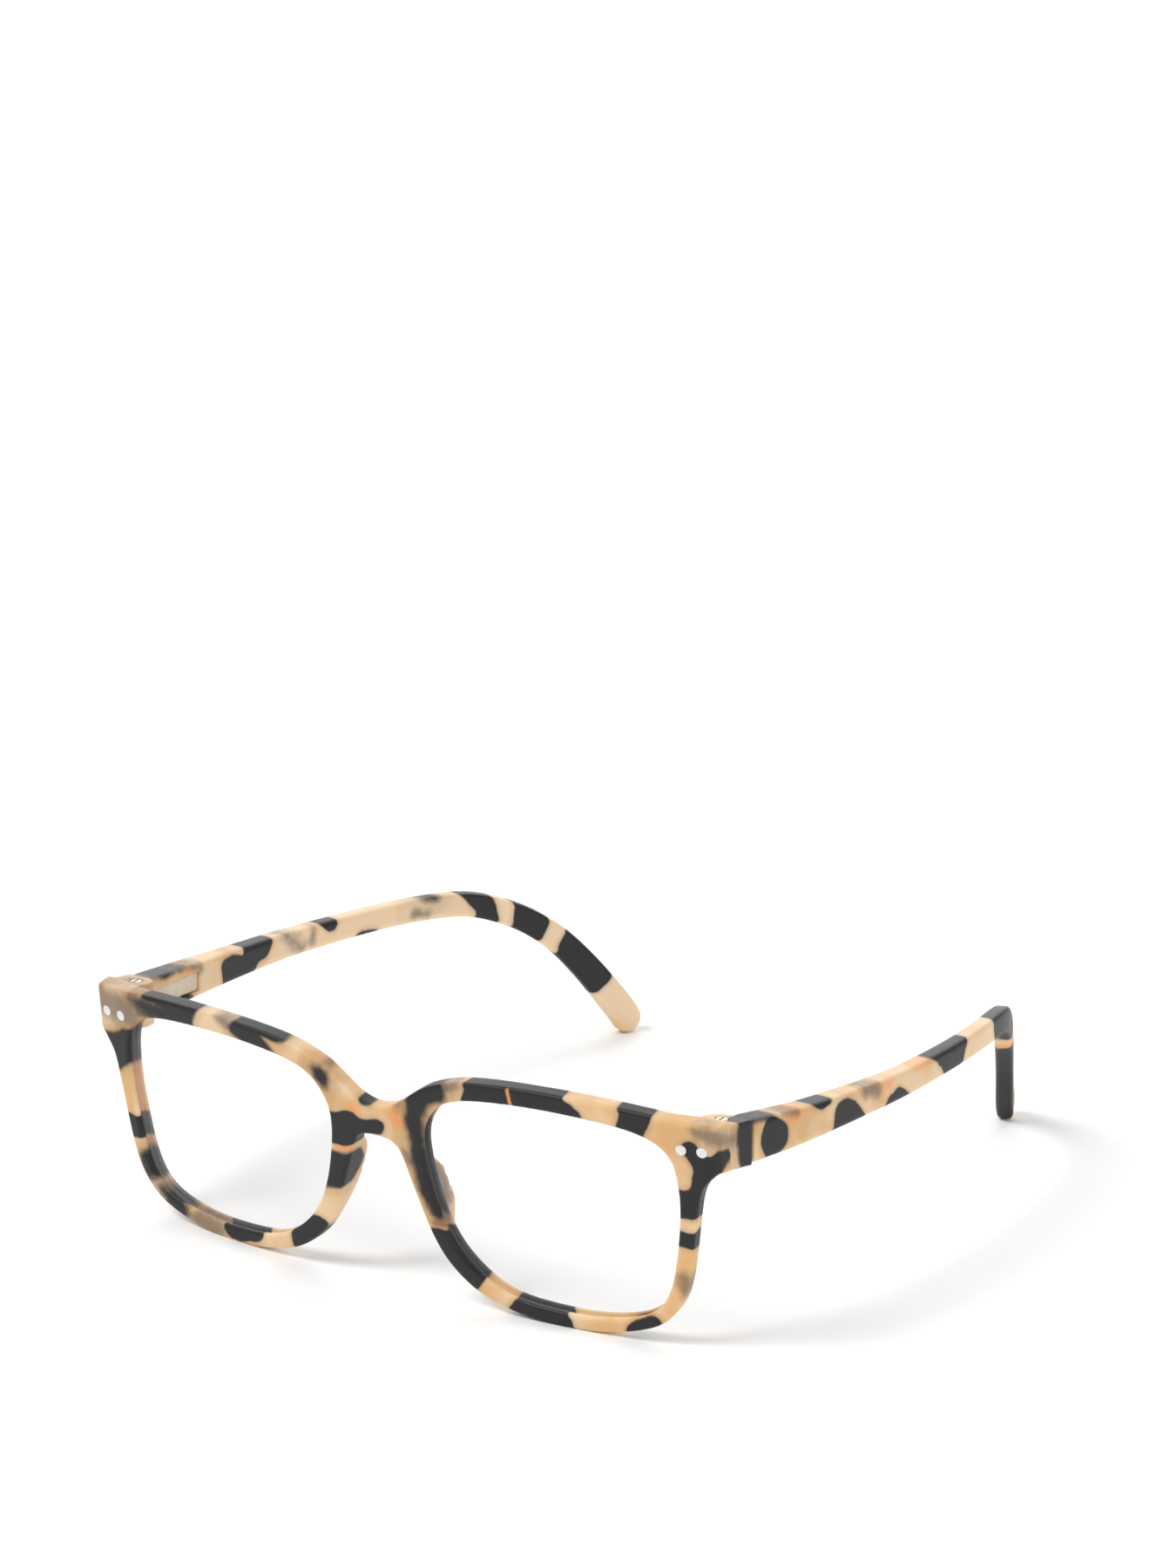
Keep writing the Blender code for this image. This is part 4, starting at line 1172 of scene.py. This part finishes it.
def make_eye(side, name, look):
    """Hinge eye with its neck and pull rod, in one piece."""
    frame_matrix, post = hinge_frame(side), screw_frame(side)
    half = EYE_THICKNESS / 2
    eye = new_object(f"spring_eye_{name}", prism(arc(EYE_RADIUS, 0, 360, 48)[:-1], -half, half, post))
    low, high, end = COVER_OUTER + 0.6, ROD_OFFSET + ROD_RADIUS, SLOT_END - 0.3
    jog = COVER_START - 0.7
    neck = [(-0.3, 0.6), (high, 0.6), (high, end), (low, end), (low, jog), (-0.3, jog)]
    shape(eye, prism(neck, -1.0, 1.0, frame_matrix), "UNION")
    shape(eye, rod(ROD_RADIUS, SLOT_END - 0.9, rod_end(), rod_frame(side), 24), "UNION")
    shape(eye, rod(SHAFT_RADIUS + SHAFT_CLEARANCE, -half - 1, half + 1, upright(post)))
    eye.data.materials.append(steel(look))
    bevelled(eye, 0.12)
    finish_piece(eye, f"hinge_{name}", f"hinge_eye_{name}")


def make_nut(side, name, look):
    start, end, chamfer = nut_start(), nut_start() + NUT_LENGTH, 0.15
    inner, outer = ROD_RADIUS + 0.1, NUT_RADIUS
    profile = [(start, inner), (start, outer - chamfer), (start + chamfer, outer), (end - chamfer, outer)]
    profile += [(end, outer - chamfer), (end, inner)]
    nut = new_object(f"rod_nut_{name}", turned(profile, rod_frame(side), 32, closed=True), brass(look))
    finish_piece(nut, f"hinge_{name}", f"spring_nut_{name}")


def make_spring(side, name, look):
    """Coil on the pull rod between the temple's shoulder and the nut."""
    frame_matrix = rod_frame(side)
    start = POCKET_START + SPRING_GAP + SPRING_WIRE
    reach = nut_start() - SPRING_GAP - SPRING_WIRE - start
    per_turn = 32
    steps = SPRING_TURNS * per_turn
    bm = bmesh.new()
    loops = []
    for i in range(steps + 1):
        a = 2 * math.pi * i / per_turn
        radial = Vector((math.cos(a), 0, math.sin(a)))
        centre = radial * SPRING_RADIUS + Vector((0, start + reach * i / steps, 0))
        loop = []
        for u, v in arc(SPRING_WIRE, 0, 360, 10)[:-1]:
            loop.append(bm.verts.new(frame_matrix @ (centre + u * radial + v * Vector((0, 1, 0)))))
        loops.append(loop)
    for a, b in zip(loops, loops[1:]):
        join_loops(bm, a, b)
    bm.faces.new(loops[0])
    bm.faces.new(loops[-1])
    spring = new_object(f"coil_{name}", bm, steel(look))
    finish_piece(spring, f"hinge_{name}", f"flex_spring_{name}")
    flex = JOINTS[f"flex_{name}"]
    1.0 - flex["range_m"][1] / (reach * MM)
    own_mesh(spring)


def make_screw(side, name, look):
    """Slotted screw with a domed head, its end in the lower ear's insert."""
    frame_matrix = screw_frame(side)
    low = head_low()
    top = low + HEAD_THICKNESS
    tip = -EAR_GAP / 2 - INSERT_LENGTH
    profile = [(tip, 0.8 * SHAFT_RADIUS), (tip + 0.15, SHAFT_RADIUS), (low, SHAFT_RADIUS), (low, HEAD_RADIUS)]
    profile += [(top - 0.2, HEAD_RADIUS), (top - 0.08, 0.95 * HEAD_RADIUS), (top, 0.75 * HEAD_RADIUS)]
    screw = new_object(f"slotted_screw_{name}", turned(profile, upright(frame_matrix)))
    slot = box_outline(-0.2, 0.2, -2 * HEAD_RADIUS, 2 * HEAD_RADIUS)
    shape(screw, prism(slot, top - 0.35, top + 1, frame_matrix))
    screw.data.materials.append(steel(look))
    screw.data.set_sharp_from_angle(angle=SHARP)
    finish_piece(screw, "front", f"hinge_screw_{name}")


def make_insert(side, name, look):
    start = -EAR_GAP / 2 - 0.2 - INSERT_LENGTH
    inner, outer = SHAFT_RADIUS + SHAFT_CLEARANCE, INSERT_RADIUS
    end = start + INSERT_LENGTH
    profile = [(start, inner), (start, outer - 0.1), (start + 0.1, outer), (end, outer), (end, inner)]
    ring = turned(profile, upright(screw_frame(side)), 40, closed=True)
    insert = new_object(f"thread_{name}", ring, brass(look))
    finish_piece(insert, "front", f"screw_insert_{name}")


# ---- operators ----------------------------------------------------------------------------------
class GLASSES_OT_front(bpy.types.Operator):
    """Build the front with its rims, bridge, nose pads and end pieces, and its trim pins"""

    bl_idname = "glasses.front"
    bl_label = "Front"

    def execute(self, context):
        scene = context.scene
        make_front(scene.glasses_shape, scene.glasses_plastic)
        make_pins(scene.glasses_metal)
        return {"FINISHED"}


class GLASSES_OT_lenses(bpy.types.Operator):
    """Build the two reading lenses"""

    bl_idname = "glasses.lenses"
    bl_label = "Lenses"

    def execute(self, context):
        for name, side in SIDES:
            make_lens(side, name, context.scene.glasses_lens)
        return {"FINISHED"}


class GLASSES_OT_temples(bpy.types.Operator):
    """Build the two temples"""

    bl_idname = "glasses.temples"
    bl_label = "Temples"

    def execute(self, context):
        for name, side in SIDES:
            make_temple(side, name, context.scene.glasses_shape, context.scene.glasses_plastic)
        return {"FINISHED"}


class GLASSES_OT_hinges(bpy.types.Operator):
    """Build the spring hinges: screws, inserts, eyes, springs, nuts and insert plates"""

    bl_idname = "glasses.hinges"
    bl_label = "Hinges"

    def execute(self, context):
        look = context.scene.glasses_metal
        for name, side in SIDES:
            for make in (make_cover, make_eye, make_nut, make_spring, make_screw, make_insert):
                make(side, name, look)
        return {"FINISHED"}


class GLASSES_OT_stage(bpy.types.Operator):
    """Set the floor, the light and the camera"""

    bl_idname = "glasses.stage"
    bl_label = "Stage"

    def execute(self, context):
        look = context.scene.glasses_stage
        bm = bmesh.new()
        bmesh.ops.create_grid(bm, x_segments=1, y_segments=1, size=4.0)
        floor = new_object("floor", bm, floor_paint(look))
        world_light = bpy.data.worlds.new("surround")
        world_light.use_nodes = True
        context.scene.world = world_light
        tree = world_light.node_tree
        back = tree.nodes["Background"]
        back.inputs["Color"].default_value = (1.0, 1.0, 1.0, 1.0)
        # the surround itself shows white, and lights the glasses more softly
        seen = tree.nodes.new("ShaderNodeLightPath")
        strength = tree.nodes.new("ShaderNodeMapRange")
        strength.inputs["To Min"].default_value = look.sky
        tree.links.new(seen.outputs["Is Camera Ray"], strength.inputs["Value"])
        tree.links.new(strength.outputs["Result"], back.inputs["Strength"])
        add_light(context, "key", look.key, look.key_spread, (0.30, 0.50, -0.80))
        add_light(context, "sheen", look.sheen, look.sheen_spread, (0.45, -0.75, -0.50))
        add_light(context, "fill", look.fill, look.sheen_spread, (-0.85, 0.15, -0.30))
        add_camera(context, look)
        context.scene.view_settings.view_transform = "Standard"
        return {"FINISHED"}


def add_light(context, name, energy, spread, travel):
    """A broad soft light that shines along travel."""
    light = bpy.data.lights.new(name, "SUN")
    light.energy = energy
    light.angle = spread
    obj = bpy.data.objects.new(name, light)
    obj.rotation_euler = Vector(travel).to_track_quat("-Z", "Y").to_euler()
    context.scene.collection.objects.link(obj)


def add_camera(context, look):
    data = bpy.data.cameras.new("camera")
    data.sensor_fit = "VERTICAL"
    data.sensor_height = 24.0
    data.lens = look.focal
    data.clip_start = 0.05
    obj = bpy.data.objects.new("camera", data)
    obj.location = look.place
    obj.rotation_euler = (math.pi / 2 - look.elevation, 0.0, look.azimuth)
    context.scene.collection.objects.link(obj)
    context.scene.camera = obj


class GLASSES_PT_panel(bpy.types.Panel):
    bl_label = "Reading Glasses"
    bl_idname = "GLASSES_PT_panel"
    bl_space_type = "VIEW_3D"
    bl_region_type = "UI"
    bl_category = "Glasses"

    def draw(self, context):
        for operator in OPERATORS:
            self.layout.operator(operator.bl_idname)
        for name, group in GROUPS.items():
            box = self.layout.box()
            for field in group.__annotations__:
                box.prop(getattr(context.scene, name), field)


GROUPS = {
    "glasses_shape": ShapeDetail,
    "glasses_plastic": PlasticLook,
    "glasses_metal": MetalLook,
    "glasses_lens": LensLook,
    "glasses_stage": StageLook,
}
OPERATORS = (GLASSES_OT_front, GLASSES_OT_lenses, GLASSES_OT_temples, GLASSES_OT_hinges, GLASSES_OT_stage)


def register():
    for group in GROUPS.values():
        bpy.utils.register_class(group)
    for name, group in GROUPS.items():
        setattr(bpy.types.Scene, name, bpy.props.PointerProperty(type=group))
    for operator in OPERATORS:
        bpy.utils.register_class(operator)
    bpy.utils.register_class(GLASSES_PT_panel)


def unregister():
    bpy.utils.unregister_class(GLASSES_PT_panel)
    for operator in reversed(OPERATORS):
        bpy.utils.unregister_class(operator)
    for name, group in GROUPS.items():
        delattr(bpy.types.Scene, name)
        bpy.utils.unregister_class(group)


def main():
    register()
    bpy.ops.glasses.front()
    bpy.ops.glasses.lenses()
    bpy.ops.glasses.temples()
    bpy.ops.glasses.hinges()
    bpy.ops.glasses.stage()


if __name__ == "__main__":
    main()
